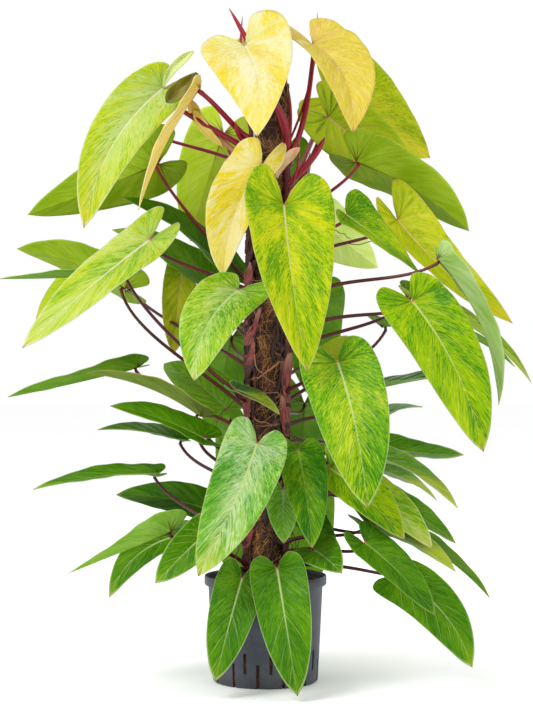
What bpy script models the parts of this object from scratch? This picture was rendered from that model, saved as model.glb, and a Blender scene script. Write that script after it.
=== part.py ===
"""Potted painted lady philodendron: a climbing plant on a coir pole in a culture pot.

Metres, +Z up. The origin is the centre of the pot's underside. The front is -Y.
Four vines climb the pole. Each is one solid with its leaf stalks, its red sheaths and its
smaller leaves, and each large leaf blade is a solid of its own at the end of its stalk.
"""
from collections import namedtuple
from math import cos, pi, radians, sin

import bmesh
import bpy
from mathutils import Matrix, Vector

# The pot, a standard 22/19 culture pot
POT_HEIGHT = 0.190
RIM_RADIUS = 0.110
COLLAR_HEIGHT = 0.016
WALL_RADIUS_TOP = 0.103
WALL_RADIUS_FOOT = 0.0945
WALL = 0.0028
FLOOR = 0.0035
SLOTS = 26
POT_SIDES = 32
SLOT_WIDTH = 0.005
LOWER_SLOT = (-0.004, 0.043)
UPPER_SLOT = (0.026, 0.062)
LOWER_SLOT_DEPTH = 0.016
UPPER_SLOT_DEPTH = 0.024
COLLAR_STEP = 0.003
FOOT_CHAMFER = 0.003
FIRST_SLOT_ANGLE = radians(-98.1)

# The fill and the pole
SEAT = 0.0003
SOIL_TOP = 0.177
SOIL_ROUGHNESS = 0.0022
SOIL_RINGS = 4
HOLE_TOP = 0.25
POLE_RADIUS = 0.030
POLE_BOTTOM = 0.065
POLE_TOP = 1.072
POLE_LEAN = 0.012
STAKE_RADIUS = 0.011
STAKE_BOTTOM = 0.030
POLE_SIDES = 24
STAKE_SIDES = 12

# The vines
VINE_RADIUS = 0.0068
VINE_FROM_POLE = POLE_RADIUS + VINE_RADIUS + 0.0008
VINE_BOTTOM = 0.105
VINE_ROOM = 0.0012
VINE_STEPS = 9
STALK_RADIUS = 0.0027
STALK_PIECE = 0.055
STALK_GAP = 0.0005
BLADE = 0.0009
EDGE_WAVE = 0.012
SMALL_BLADE_SINK = 0.0012
SPEAR_TIP = 0.0006

# Leaf places were measured in a front view, taken level from this point. The x and z of a
# place are as seen in that view at the pot's middle, and y is its real depth, so a leaf that
# is moved in depth keeps its place in the view.
VIEWPOINT = Vector((0.0, -3.4, 0.62))


def placed(x, y, z):
    """World point of a place that the front view shows at (x, z) and that has depth y."""
    nearness = (y - VIEWPOINT.y) / -VIEWPOINT.y
    return VIEWPOINT + (Vector((x, 0.0, z)) - VIEWPOINT) * nearness


# A blade's side veins, from the sinus round the lobe to the drip tip: where each leaves the
# midrib and reaches the margin, along the blade's length, and how far out across its half width.
Vein = namedtuple("Vein", "start end across")
VEINS = (
    Vein(0.00, -0.08, 0.12),
    Vein(0.00, -0.19, 0.46),
    Vein(0.00, -0.13, 0.84),
    Vein(0.00, 0.05, 1.00),
    Vein(0.12, 0.26, 0.98),
    Vein(0.28, 0.47, 0.89),
    Vein(0.48, 0.68, 0.70),
    Vein(0.72, 0.88, 0.37),
)

# turn: 0 shows the upper face to the front, 90 is edge on, 180 shows the underside.
# width, arch and bend, the midrib's bow to the side, are shares of the blade's length.
# fold lifts each half by that many degrees. lobe is a share of the usual lobe length.
# skew slides one half towards the tip and the other back, by that share of the length.
# taper narrows the blade towards its tip: 0 leaves it oblong, 0.6 makes it a triangle.
Leaf = namedtuple("Leaf", "name vine node base tip turn width arch fold lobe bend rise skew taper own",
                  defaults=(0, 0.5, 0.07, 16, 1.0, 0.0, 0.35, 0.0, 0.0, True))

LEAVES = (
    # Crown
    Leaf("crown_front", "fr", 0.955, (-0.037, -0.07, 1.142), (-0.015, -0.25, 0.978), 0, 0.7, 0.05, 12,
         bend=0.06, skew=-0.15, taper=0.5),
    Leaf("crown_right", "fr", 0.93, (0.084, 0.0, 1.145), (0.157, -0.12, 0.985), -28, 0.58, 0.1, 26,
         bend=0.09),
    Leaf("crown_back", "br", 0.95, (-0.01, 0.06, 1.13), (0.02, 0.21, 1.0), 180, 0.5),
    # Upper left
    Leaf("left_high", "fl", 0.95, (-0.183, -0.03, 1.066), (-0.327, -0.07, 0.814), 12, 0.4, 0.08, 24,
         0.7, -0.08),
    Leaf("left_strip", "fl", 0.97, (-0.118, -0.1, 1.065), (-0.228, -0.13, 0.847), 100, 0.24, 0.04, 25,
         0.4),
    Leaf("left_olive", "bl", 0.92, (-0.225, 0.12, 1.0), (-0.341, 0.12, 0.856), 150, 0.45, own=False),
    Leaf("left_under", "bl", 0.7, (-0.192, 0.05, 0.93), (-0.428, 0.04, 0.838), 158, 0.54, bend=-0.04,
         taper=0.35),
    Leaf("left_pale", "bl", 0.86, (-0.075, 0.16, 0.985), (-0.135, 0.19, 0.79), 170, 0.62),
    # Centre
    Leaf("centre_cream", "fl", 0.88, (-0.006, -0.09, 0.928), (-0.077, -0.13, 0.726), 30, 0.56, 0.07,
         28, bend=-0.04),
    Leaf("front_tall", "fr", 0.8, (0.033, -0.17, 0.856), (0.076, -0.25, 0.555), -20, 0.59, 0.07, 22,
         1.0, -0.04, skew=0.05, taper=0.3),
    Leaf("left_heart", "fl", 0.66, (-0.048, -0.15, 0.703), (-0.129, -0.22, 0.539), 10, 0.6, 0.07, 16,
         0.75, -0.1, skew=-0.05),
    Leaf("right_heart", "fr", 0.52, (0.13, -0.18, 0.573), (0.184, -0.26, 0.31), 0, 0.53, 0.07, 16,
         0.75, 0.03),
    Leaf("pale_front", "fl", 0.4, (-0.015, -0.18, 0.427), (-0.122, -0.26, 0.186), 5, 0.46, 0.07, 16,
         0.65, 0.03),
    Leaf("low_mottled", "fr", 0.36, (0.058, -0.1, 0.415), (0.084, -0.2, 0.237), -15, 0.45, lobe=0.5),
    Leaf("pole_small", "fl", 0.5, (-0.055, -0.06, 0.523), (0.026, -0.09, 0.478), -60, 0.45, own=False),
    # Upper right
    Leaf("right_top_back", "br", 0.88, (0.118, 0.24, 1.045), (0.296, 0.34, 0.94), -20, 0.9, 0.07, 25,
         1.5, taper=0.6),
    Leaf("right_top", "br", 0.85, (0.112, 0.11, 1.013), (0.287, 0.18, 0.856), -20, 0.5, lobe=1.2),
    Leaf("right_under", "br", 0.82, (0.163, 0.03, 0.933), (0.366, 0.05, 0.809), -135, 0.56),
    Leaf("right_lime", "br", 0.75, (0.237, 0.02, 0.829), (0.445, 0.0, 0.643), -35, 0.42, 0.04, 30, 1.0,
         -0.08, taper=0.35),
    Leaf("right_slim", "fr", 0.78, (0.145, -0.08, 0.838), (0.285, -0.07, 0.724), -60, 0.76, lobe=0.6,
         bend=-0.08, taper=0.9),
    Leaf("back_pale", "br", 0.74, (0.094, 0.12, 0.825), (0.202, 0.26, 0.742), 180, 0.55, own=False),
    Leaf("right_far", "fr", 0.66, (0.309, -0.13, 0.759), (0.42, -0.13, 0.496), -110, 0.34, 0.1, 20,
         0.5, rise=1.1),
    Leaf("right_big", "fr", 0.61, (0.264, -0.17, 0.683), (0.393, -0.22, 0.411), -8, 0.43, 0.07, 16,
         0.75, 0.05, 0.9),
    Leaf("right_edge", "fr", 0.59, (0.255, 0.0, 0.69), (0.478, 0.0, 0.537), -80, 0.34, 0.08, 25, 0.5),
    # Right
    Leaf("right_mid_back", "br", 0.49, (0.21, 0.05, 0.636), (0.449, 0.07, 0.564), -90, 0.4, 0.12,
         lobe=0.6),
    Leaf("right_band", "br", 0.45, (0.152, 0.06, 0.512), (0.386, 0.04, 0.553), -80, 0.36, 0.03, lobe=0.5),
    Leaf("right_blunt", "br", 0.42, (0.174, 0.17, 0.455), (0.283, 0.27, 0.492), -70, 0.45, own=False),
    Leaf("right_spear", "br", 0.4, (0.181, 0.07, 0.426), (0.357, 0.1, 0.406), -60, 0.42, 0.02, bend=-0.1),
    Leaf("right_hook", "fr", 0.39, (0.17, 0.0, 0.408), (0.346, -0.04, 0.31), -70, 0.45, 0.09),
    Leaf("right_small_back", "br", 0.36, (0.188, 0.12, 0.382), (0.309, 0.18, 0.323), -70, 0.45,
         own=False),
    Leaf("right_pale", "fr", 0.34, (0.116, -0.07, 0.382), (0.251, -0.15, 0.253), -30, 0.5),
    Leaf("right_yellow", "fr", 0.32, (0.152, -0.05, 0.361), (0.301, -0.1, 0.237), -40, 0.45, own=False),
    Leaf("right_low_back", "br", 0.33, (0.199, 0.04, 0.339), (0.343, 0.06, 0.246), -50, 0.38, 0.04),
    Leaf("right_long", "br", 0.27, (0.202, 0.0, 0.282), (0.404, -0.02, 0.148), -100, 0.45),
    Leaf("right_low", "fr", 0.25, (0.181, -0.07, 0.283), (0.343, -0.09, 0.195), -60, 0.45),
    Leaf("right_dark", "fr", 0.23, (0.179, -0.14, 0.247), (0.307, -0.21, 0.116), -30, 0.4),
    Leaf("right_foot", "fr", 0.205, (0.236, -0.08, 0.188), (0.373, -0.11, 0.022), 10, 0.46, 0.07, 16,
         0.4, 0.12),
    # On and over the pot
    Leaf("pot_left", "fl", 0.2, (-0.042, -0.15, 0.184), (-0.091, -0.2, -0.003), 5, 0.48, lobe=0.8),
    Leaf("pot_front", "fr", 0.21, (0.021, -0.17, 0.201), (0.058, -0.215, -0.03), 0, 0.46, lobe=0.6),
    Leaf("rim_round", "fr", 0.215, (0.087, -0.1, 0.233), (0.138, -0.22, 0.192), -20, 0.6, own=False),
    Leaf("rim_dark", "fr", 0.28, (0.058, -0.04, 0.316), (0.13, -0.09, 0.224), -10, 0.5, own=False),
    Leaf("low_dark", "fl", 0.33, (0.031, -0.09, 0.343), (0.033, -0.15, 0.246), 0, 0.6, own=False),
    # Lower left
    Leaf("low_left_long", "fl", 0.26, (-0.17, -0.15, 0.267), (-0.356, -0.17, 0.192), 110, 0.5, 0.0, 35,
         taper=0.8),
    Leaf("low_left_drip", "fl", 0.25, (-0.165, -0.03, 0.258), (-0.282, -0.09, 0.148), 20, 0.38,
         bend=-0.11),
    Leaf("low_left_near", "fl", 0.21, (-0.104, -0.16, 0.267), (-0.199, -0.21, 0.174), 10, 0.55),
    Leaf("low_left_back", "bl", 0.25, (-0.078, 0.1, 0.298), (-0.269, 0.14, 0.334), 42, 0.42, 0.07),
    Leaf("low_left_reach", "fl", 0.25, (-0.195, 0.02, 0.371), (-0.419, 0.0, 0.343), 70, 0.32, 0.04,
         lobe=0.4),
    Leaf("left_dark_slim", "bl", 0.33, (-0.149, 0.1, 0.431), (-0.302, 0.12, 0.451), 75, 0.5, 0.05,
         lobe=0.6),
    Leaf("left_dark_broad", "fl", 0.36, (-0.113, -0.08, 0.436), (-0.28, -0.1, 0.494), 60, 0.45, 0.05),
    Leaf("left_bronze", "fl", 0.38, (-0.118, -0.04, 0.476), (-0.325, -0.03, 0.553), 100, 0.45, lobe=0.6),
    Leaf("left_mid_reach", "bl", 0.43, (-0.23, 0.05, 0.564), (-0.464, 0.03, 0.51), 105, 0.38, -0.01,
         lobe=0.5),
    Leaf("left_mid_dark", "bl", 0.41, (-0.071, 0.1, 0.49), (-0.183, 0.21, 0.57), 30, 0.5),
    # Left
    Leaf("left_reach", "fl", 0.7, (-0.208, -0.06, 0.793), (-0.438, -0.12, 0.598), 25, 0.29, bend=0.015),
    Leaf("left_dark_top", "bl", 0.66, (-0.06, 0.07, 0.721), (-0.26, 0.06, 0.87), 70, 0.5),
    Leaf("left_dark_low", "bl", 0.62, (-0.095, 0.1, 0.705), (-0.276, 0.12, 0.811), 60, 0.5),
    Leaf("left_out", "bl", 0.47, (-0.253, 0.08, 0.705), (-0.447, 0.1, 0.777), 130, 0.5),
    Leaf("left_edge", "fl", 0.5, (-0.248, -0.02, 0.732), (-0.478, -0.02, 0.723), 95, 0.34, -0.01,
         lobe=0.6),
    Leaf("left_curl", "bl", 0.55, (-0.262, 0.21, 0.735), (-0.413, 0.22, 0.651), 60, 0.6, 0.12, own=False),
    Leaf("left_yellow", "bl", 0.6, (-0.15, 0.16, 0.739), (-0.165, 0.18, 0.588), 10, 0.4, own=False),
    Leaf("right_lime_small", "br", 0.54, (0.102, 0.1, 0.577), (0.154, 0.14, 0.618), 10, 0.6, own=False),
    # Back
    Leaf("back_high", "br", 0.72, (0.05, 0.17, 0.8), (0.08, 0.33, 0.6), 180, 0.5),
    Leaf("back_left", "bl", 0.56, (-0.06, 0.18, 0.62), (-0.1, 0.36, 0.44), 180, 0.5),
    Leaf("back_right", "br", 0.47, (0.07, 0.18, 0.5), (0.06, 0.36, 0.33), 180, 0.5),
    Leaf("back_low", "bl", 0.27, (-0.04, 0.16, 0.33), (-0.03, 0.3, 0.13), 180, 0.5),
    Leaf("back_top", "br", 0.9, (0.03, 0.2, 0.94), (0.02, 0.35, 0.77), 180, 0.5, own=False),
    Leaf("back_mid_left", "bl", 0.4, (-0.03, 0.17, 0.45), (-0.05, 0.33, 0.27), 180, 0.5, own=False),
    Leaf("back_mid_right", "br", 0.62, (0.09, 0.14, 0.68), (0.09, 0.3, 0.5), 170, 0.5, own=False),
    Leaf("back_low_right", "br", 0.31, (0.06, 0.15, 0.36), (0.09, 0.3, 0.17), 180, 0.5, own=False),
)

# Sheathed new leaves and dry sheaths that stand up from the vines, and how far each bows out
Spear = namedtuple("Spear", "vine node tip radius bow")
SPEARS = (
    Spear("fr", 0.965, (-0.066, -0.055, 1.210), 0.0048, 0.012),
    Spear("fl", 0.985, (-0.041, 0.00, 1.196), 0.0022, 0.010),
    Spear("fr", 0.960, (0.093, 0.05, 1.203), 0.0020, 0.020),
    Spear("fr", 0.890, (0.107, -0.04, 0.978), 0.0050, 0.010),
    Spear("fr", 0.870, (0.057, -0.07, 0.978), 0.0018, 0.012),
    Spear("fl", 0.955, (-0.053, -0.05, 1.005), 0.0032, 0.008),
    Spear("fl", 0.930, (-0.136, 0.02, 1.045), 0.0045, 0.014),
    Spear("br", 0.945, (0.030, 0.08, 1.100), 0.0035, 0.016),
)

# Each vine's angle round the pole at the soil and at its top, and its top's height
Vine = namedtuple("Vine", "angle_low angle_high top")
VINES = {
    "fl": Vine(205, 188, 1.000),
    "fr": Vine(335, 318, 0.985),
    "bl": Vine(120, 136, 0.960),
    "br": Vine(58, 44, 0.975),
}
VINE_NODES = {"fl": "vine_front_left", "fr": "vine_front_right",
              "bl": "vine_back_left", "br": "vine_back_right"}

# Colour, roughness and metallic value
FINISHES = {
    "pot_plastic": ((0.16, 0.18, 0.22), 0.55, 0.0),
    "coir_substrate": ((0.09, 0.045, 0.025), 0.95, 0.0),
    "coconut_fibre": ((0.12, 0.06, 0.03), 0.95, 0.0),
    "stake_wood": ((0.45, 0.32, 0.19), 0.80, 0.0),
    "vine_stem": ((0.16, 0.03, 0.03), 0.45, 0.0),
    "leaf_green": ((0.20, 0.42, 0.05), 0.38, 0.0),
    "leaf_yellow": ((0.62, 0.60, 0.12), 0.38, 0.0),
}
YELLOW_LEAVES = ("crown_front", "crown_right", "crown_back", "left_strip", "centre_cream")


for old in list(bpy.data.objects):
    bpy.data.objects.remove(old, do_unlink=True)

plant = bpy.data.collections.new("painted_lady_philodendron")
cutters = bpy.data.collections.new("cutters")
bpy.context.scene.collection.children.link(plant)
bpy.context.scene.collection.children.link(cutters)


def finish(name):
    """The material of that name, made the first time it is asked for."""
    made = bpy.data.materials.get(name)
    if made:
        return made
    colour, roughness, metallic = FINISHES[name]
    made = bpy.data.materials.new(name)
    made.use_nodes = True
    shader = made.node_tree.nodes["Principled BSDF"]
    shader.inputs["Base Color"].default_value = (*colour, 1.0)
    shader.inputs["Roughness"].default_value = roughness
    shader.inputs["Metallic"].default_value = metallic
    made.diffuse_color = (*colour, 1.0)
    return made


def add_object(name, mesh, material, collection=plant):
    """Link a new object of that mesh and material."""
    made = bpy.data.objects.new(name, mesh)
    collection.objects.link(made)
    if material:
        mesh.materials.clear()
        mesh.materials.append(finish(material))
    return made


def add_cutter(name, mesh):
    """A tool body that the build leaves out."""
    made = add_object(name, mesh, None, cutters)
    made.hide_render = True
    made.display_type = "WIRE"
    return made


def mesh_from(name, build):
    """A mesh that the function build fills through a bmesh."""
    shape = bmesh.new()
    build(shape)
    mesh = bpy.data.meshes.new(name)
    shape.to_mesh(mesh)
    shape.free()
    return mesh


def evaluated_mesh(source):
    """The mesh of an object after its modifiers, or of a curve after its bevel."""
    depsgraph = bpy.context.evaluated_depsgraph_get()
    return bpy.data.meshes.new_from_object(source.evaluated_get(depsgraph))


def apply_modifiers(source):
    """Put the evaluated mesh in the object and drop its modifiers."""
    mesh = evaluated_mesh(source)
    source.modifiers.clear()
    source.data = mesh


def cylinder(name, radius, low, high, sides, at=(0.0, 0.0), lean=0.0):
    """An upright cylinder, sheared by lean metres in x for each metre of height."""
    def build(shape):
        middle = Matrix.Translation((at[0], at[1], (low + high) / 2))
        bmesh.ops.create_cone(shape, cap_ends=True, segments=sides, radius1=radius,
                              radius2=radius, depth=high - low, matrix=middle)
        for vert in shape.verts:
            vert.co.x += lean * vert.co.z
    return mesh_from(name, build)


def boolean(target, operation, tools):
    """Cut a collection's bodies from the target, or join them to it, and apply it."""
    step = target.modifiers.new(operation.lower(), "BOOLEAN")
    step.operation = operation
    step.solver = "EXACT"
    step.operand_type = "COLLECTION"
    step.collection = tools
    apply_modifiers(target)


def turned(name, profile, sides, material):
    """A body of revolution about Z from (radius, height) points."""
    mesh = bpy.data.meshes.new(name)
    points = [(radius, 0.0, height) for radius, height in profile]
    mesh.from_pydata(points, [(i, i + 1) for i in range(len(points) - 1)], [])
    made = add_object(name, mesh, material)
    screw = made.modifiers.new("turn", "SCREW")
    screw.steps = sides
    screw.render_steps = sides
    screw.use_merge_vertices = True
    screw.merge_threshold = 0.00005
    return made


def pole_lean(z):
    """How far in x the leaning pole's axis is at a height."""
    return POLE_LEAN * (z - SOIL_TOP) / (POLE_TOP - SOIL_TOP)


def vine_centre(vine, z):
    """Centre of a vine at a height, beside the leaning pole."""
    share = (z - SOIL_TOP) / (POLE_TOP - SOIL_TOP)
    angle = radians(vine.angle_low + (vine.angle_high - vine.angle_low) * max(share, 0.0))
    return Vector((pole_lean(z) + VINE_FROM_POLE * cos(angle), VINE_FROM_POLE * sin(angle), z))


def make_pot():
    """The thin-walled pot with its collar, and its slots cut through wall and floor edge."""
    inner_foot = WALL_RADIUS_FOOT - WALL
    inner_top = WALL_RADIUS_TOP - WALL
    collar_foot = POT_HEIGHT - COLLAR_HEIGHT
    profile = (
        (0.0, FLOOR),
        (inner_foot, FLOOR),
        (inner_top, collar_foot + WALL),
        (RIM_RADIUS - WALL, collar_foot + WALL + COLLAR_STEP),
        (RIM_RADIUS - WALL, POT_HEIGHT),
        (RIM_RADIUS, POT_HEIGHT),
        (RIM_RADIUS, collar_foot),
        (WALL_RADIUS_TOP, collar_foot - COLLAR_STEP),
        (WALL_RADIUS_FOOT, FOOT_CHAMFER),
        (WALL_RADIUS_FOOT - FOOT_CHAMFER, 0.0),
        (0.0, 0.0),
    )
    pot = turned("culture_pot", profile, POT_SIDES, "pot_plastic")
    apply_modifiers(pot)
    slots = bpy.data.collections.new("slots")
    cutters.children.link(slots)
    for number in range(SLOTS):
        low, high = LOWER_SLOT if number % 2 == 0 else UPPER_SLOT
        angle = FIRST_SLOT_ANGLE + number * 2 * pi / SLOTS
        depth = LOWER_SLOT_DEPTH if number % 2 == 0 else UPPER_SLOT_DEPTH
        centre = Matrix.Rotation(angle, 4, "Z") @ Matrix.Translation((WALL_RADIUS_FOOT, 0, (low + high) / 2))
        size = Matrix.Diagonal((depth, SLOT_WIDTH, high - low, 1.0))
        mesh = mesh_from("slot", lambda shape: bmesh.ops.create_cube(shape, size=1.0, matrix=centre @ size))
        slots.objects.link(add_cutter(f"slot_{number:02d}", mesh))
    boolean(pot, "DIFFERENCE", slots)
    return pot


def make_substrate():
    """The fill, lumpy on top, with plain holes for the pole and the vines."""
    inner_foot = WALL_RADIUS_FOOT - WALL - SEAT
    inner_top = WALL_RADIUS_TOP - WALL - SEAT
    soil_edge = inner_foot + (inner_top - inner_foot) * (SOIL_TOP - 0.010) / POT_HEIGHT
    profile = [(soil_edge * ring / SOIL_RINGS, SOIL_TOP) for ring in range(SOIL_RINGS)]
    profile += [(soil_edge, SOIL_TOP - 0.002), (inner_foot, FLOOR + SEAT), (0.0, FLOOR + SEAT)]
    fill = turned("substrate", profile, POT_SIDES, "coir_substrate")
    apply_modifiers(fill)
    for vert in fill.data.vertices:
        if vert.co.z > SOIL_TOP - 0.001:
            x, y = vert.co.x, vert.co.y
            vert.co.z += SOIL_ROUGHNESS * sin(71 * x + 23 * y) * cos(59 * y - 37 * x)
    holes = bpy.data.collections.new("holes")
    cutters.children.link(holes)
    slope = POLE_LEAN / (POLE_TOP - SOIL_TOP)
    shift = -slope * SOIL_TOP
    at = (shift, 0.0)
    pole_hole = cylinder("hole", POLE_RADIUS + SEAT, POLE_BOTTOM - SEAT, HOLE_TOP, POLE_SIDES, at, slope)
    stake_hole = cylinder("hole", STAKE_RADIUS + SEAT, STAKE_BOTTOM - SEAT, HOLE_TOP, STAKE_SIDES, at, slope)
    holes.objects.link(add_cutter("pole_hole", pole_hole))
    holes.objects.link(add_cutter("stake_hole", stake_hole))
    for key, vine in VINES.items():
        centre = vine_centre(vine, VINE_BOTTOM)
        beside = (centre.x + slope * (SOIL_TOP - VINE_BOTTOM) + shift, centre.y)
        hole = cylinder("hole", VINE_RADIUS + VINE_ROOM, VINE_BOTTOM - SEAT, HOLE_TOP, 8, beside, slope)
        holes.objects.link(add_cutter("vine_hole_" + key, hole))
    boolean(fill, "DIFFERENCE", holes)
    return fill


def make_pole():
    """The coir wrap, a thick tube, and the stake inside it."""
    slope = POLE_LEAN / (POLE_TOP - SOIL_TOP)
    shift = (-slope * SOIL_TOP, 0.0)
    wrap_mesh = cylinder("coir_pole", POLE_RADIUS, POLE_BOTTOM, POLE_TOP, POLE_SIDES, shift, slope)
    wrap = add_object("coir_pole", wrap_mesh, "coconut_fibre")
    bore = bpy.data.collections.new("bore")
    cutters.children.link(bore)
    hole = cylinder("bore", STAKE_RADIUS + SEAT, 0.0, POLE_TOP + SEAT, STAKE_SIDES, shift, slope)
    bore.objects.link(add_cutter("pole_bore", hole))
    boolean(wrap, "DIFFERENCE", bore)
    stake_top = POLE_TOP - 0.002
    stake = cylinder("pole_stake", STAKE_RADIUS, STAKE_BOTTOM, stake_top, STAKE_SIDES, shift, slope)
    add_object("pole_stake", stake, "stake_wood")


class Blade:
    """The curved surface of one leaf blade, in its own axes."""

    def __init__(self, leaf):
        self.leaf = leaf
        self.base = placed(*leaf.base)
        self.tip = placed(*leaf.tip)
        self.length = (self.tip - self.base).length
        self.along = (self.tip - self.base).normalized()
        to_viewer = (VIEWPOINT - self.base).normalized()
        facing = (to_viewer - self.along * to_viewer.dot(self.along)).normalized()
        self.normal = Matrix.Rotation(radians(leaf.turn), 3, self.along) @ facing
        self.side = self.normal.cross(self.along)

    def point(self, share, across):
        """Point at a share of the length and a share of the half width, signed by side."""
        leaf = self.leaf
        width = across * leaf.width / 2 * self.length * (1 - leaf.taper * max(share, 0.0))
        if share < 0:
            share *= leaf.lobe
        share += leaf.skew * across * (1 - share)
        lift = abs(width) * sin(radians(leaf.fold)) + leaf.arch * self.length * 4 * share * (1 - share)
        if share < 0:
            lift -= leaf.arch * self.length * 6 * share
        sideways = leaf.bend * self.length * 4 * share * (1 - share)
        phase = leaf.node * 40 + (2 if across > 0 else 0)
        wave = EDGE_WAVE * self.length * across * across * sin(9 * share + phase)
        return (self.base + self.along * (share * self.length)
                + self.side * (width * cos(radians(leaf.fold)) + sideways) + self.normal * (lift + wave))

    def stalk_end(self):
        """Where the stalk meets the underside, and the direction in which it gets there."""
        slope = (self.point(0.03, 0.0) - self.base).normalized()
        up = self.normal - slope * self.normal.dot(slope)
        up.normalize()
        return self.point(0.02, 0.0) - up * (BLADE / 2 + STALK_GAP), up


def blade_mesh(leaf):
    """A grid whose rows follow the side veins and whose columns run from margin to margin."""
    blade = Blade(leaf)
    rows = len(VEINS)

    def build(shape):
        columns = 4 if leaf.own else 2
        bmesh.ops.create_grid(shape, x_segments=columns, y_segments=rows, size=1.0)
        for vert in shape.verts:
            across = vert.co.x
            row = round((vert.co.y + 1) / 2 * rows)
            if row == rows:
                vert.co = blade.point(1.0, 0.0)
                continue
            vein = VEINS[row]
            share = vein.start + (vein.end - vein.start) * abs(across)
            vert.co = blade.point(share, vein.across * across)
        bmesh.ops.remove_doubles(shape, verts=shape.verts, dist=0.00001)
        bmesh.ops.triangulate(shape, faces=shape.faces, quad_method="FIXED")
        bmesh.ops.recalc_face_normals(shape, faces=shape.faces)
    return mesh_from(leaf.name, build)


def make_blade(leaf, collection):
    """One leaf blade as a closed solid of even thickness."""
    made = add_object("leaf_" + leaf.name, blade_mesh(leaf),
                      "leaf_yellow" if leaf.name in YELLOW_LEAVES else "leaf_green", collection)
    thick = made.modifiers.new("thickness", "SOLIDIFY")
    thick.thickness = BLADE
    thick.offset = 0.0
    if collection is not plant:
        apply_modifiers(made)
    return made


def tube(name, points, radii, resolution, collection):
    """A closed tube along points, as a mesh whose caps are welded."""
    curve = bpy.data.curves.new(name + "_path", "CURVE")
    curve.dimensions = "3D"
    curve.bevel_depth = 1.0
    curve.bevel_resolution = resolution
    curve.use_fill_caps = True
    spline = curve.splines.new("POLY")
    spline.points.add(len(points) - 1)
    for spot, point, radius in zip(spline.points, points, radii):
        spot.co = (*point, 1.0)
        spot.radius = radius
    drawn = bpy.data.objects.new(name + "_path", curve)
    collection.objects.link(drawn)
    mesh = evaluated_mesh(drawn)
    welded = bmesh.new()
    welded.from_mesh(mesh)
    bmesh.ops.remove_doubles(welded, verts=welded.verts, dist=0.00001)
    welded.to_mesh(mesh)
    welded.free()
    made = bpy.data.objects.new(name, mesh)
    made.matrix_world = drawn.matrix_world
    bpy.data.objects.remove(drawn, do_unlink=True)
    collection.objects.link(made)
    return made


def stalk_points(leaf):
    """A leaf stalk's bow from inside its vine to just under its blade."""
    start = vine_centre(VINES[leaf.vine], leaf.node)
    end, up = Blade(leaf).stalk_end()
    if not leaf.own:
        end = end + up * SMALL_BLADE_SINK
    reach = end - start
    steps = max(3, round(reach.length / STALK_PIECE) + 1)
    out = Vector((start.x - pole_lean(leaf.node), start.y, 0.0)).normalized()
    leave = (reach.normalized() * 0.6 + out * 0.5 + Vector((0, 0, leaf.rise))).normalized()
    arrive = (reach.normalized() * 0.7 + up * 0.5).normalized()
    controls = (start, start + leave * reach.length * 0.35, end - arrive * reach.length * 0.3 - up * 0.006)
    last = end - up * 0.006
    points = []
    for step in range(steps):
        t = step / (steps - 1)
        points.append(controls[0] * (1 - t) ** 3 + controls[1] * 3 * t * (1 - t) ** 2
                      + controls[2] * 3 * t * t * (1 - t) + last * t ** 3)
    points.append(end)
    return points


def spear_points(spear):
    """A spear's slightly bowed line from inside its vine to its tip."""
    start = vine_centre(VINES[spear.vine], spear.node)
    tip = placed(*spear.tip)
    bow = Vector((start.x - pole_lean(spear.node), start.y, 0.0)).normalized() * spear.bow
    return [start.lerp(tip, t) + bow * 4 * t * (1 - t) for t in (0.0, 0.35, 0.7, 1.0)]


def make_vine(key, vine):
    """A vine with its stalks and its small leaves, joined in one solid."""
    joined = bpy.data.collections.new("joined_" + key)
    cutters.children.link(joined)
    rise = (vine.top - VINE_BOTTOM) / VINE_STEPS
    line = [vine_centre(vine, VINE_BOTTOM + rise * step) for step in range(VINE_STEPS + 1)]
    stem = tube(VINE_NODES[key], line, [VINE_RADIUS] * VINE_STEPS + [VINE_RADIUS * 0.6], 2, plant)
    stem.data.materials.append(finish("vine_stem"))
    for leaf in LEAVES:
        if leaf.vine != key:
            continue
        points = stalk_points(leaf)
        radii = [STALK_RADIUS * (1.45 - 0.6 * step / (len(points) - 1)) for step in range(len(points))]
        tube("stalk_" + leaf.name, points, radii, 1, joined)
        if not leaf.own:
            make_blade(leaf, joined)
    for number, spear in enumerate(SPEARS):
        if spear.vine == key:
            radii = [spear.radius, spear.radius * 1.15, spear.radius, SPEAR_TIP]
            tube(f"spear_{number}", spear_points(spear), radii, 1, joined)
    boolean(stem, "UNION", joined)
    for part in list(joined.objects):
        bpy.data.objects.remove(part, do_unlink=True)


make_pot()
make_substrate()
make_pole()
for key, vine in VINES.items():
    make_vine(key, vine)
for leaf in LEAVES:
    if leaf.own:
        make_blade(leaf, plant)
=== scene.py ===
# %% [markdown]
# Potted painted lady philodendron.
#
# This climber grows up a pole wrapped in coconut fibre. Its four vines carry long red
# stalks, and each stalk carries one heart-shaped blade, lime and yellow at the crown and
# green lower down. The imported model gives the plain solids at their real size. This script
# dresses each of them: it keeps their form and adds veins, mottling, fibre, roots and soil.

# %% Load the frame
from collections import namedtuple
from math import atan, cos, exp, pi, radians, sin
from random import Random

import bmesh
import bpy
from mathutils import Matrix, Vector, noise


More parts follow.
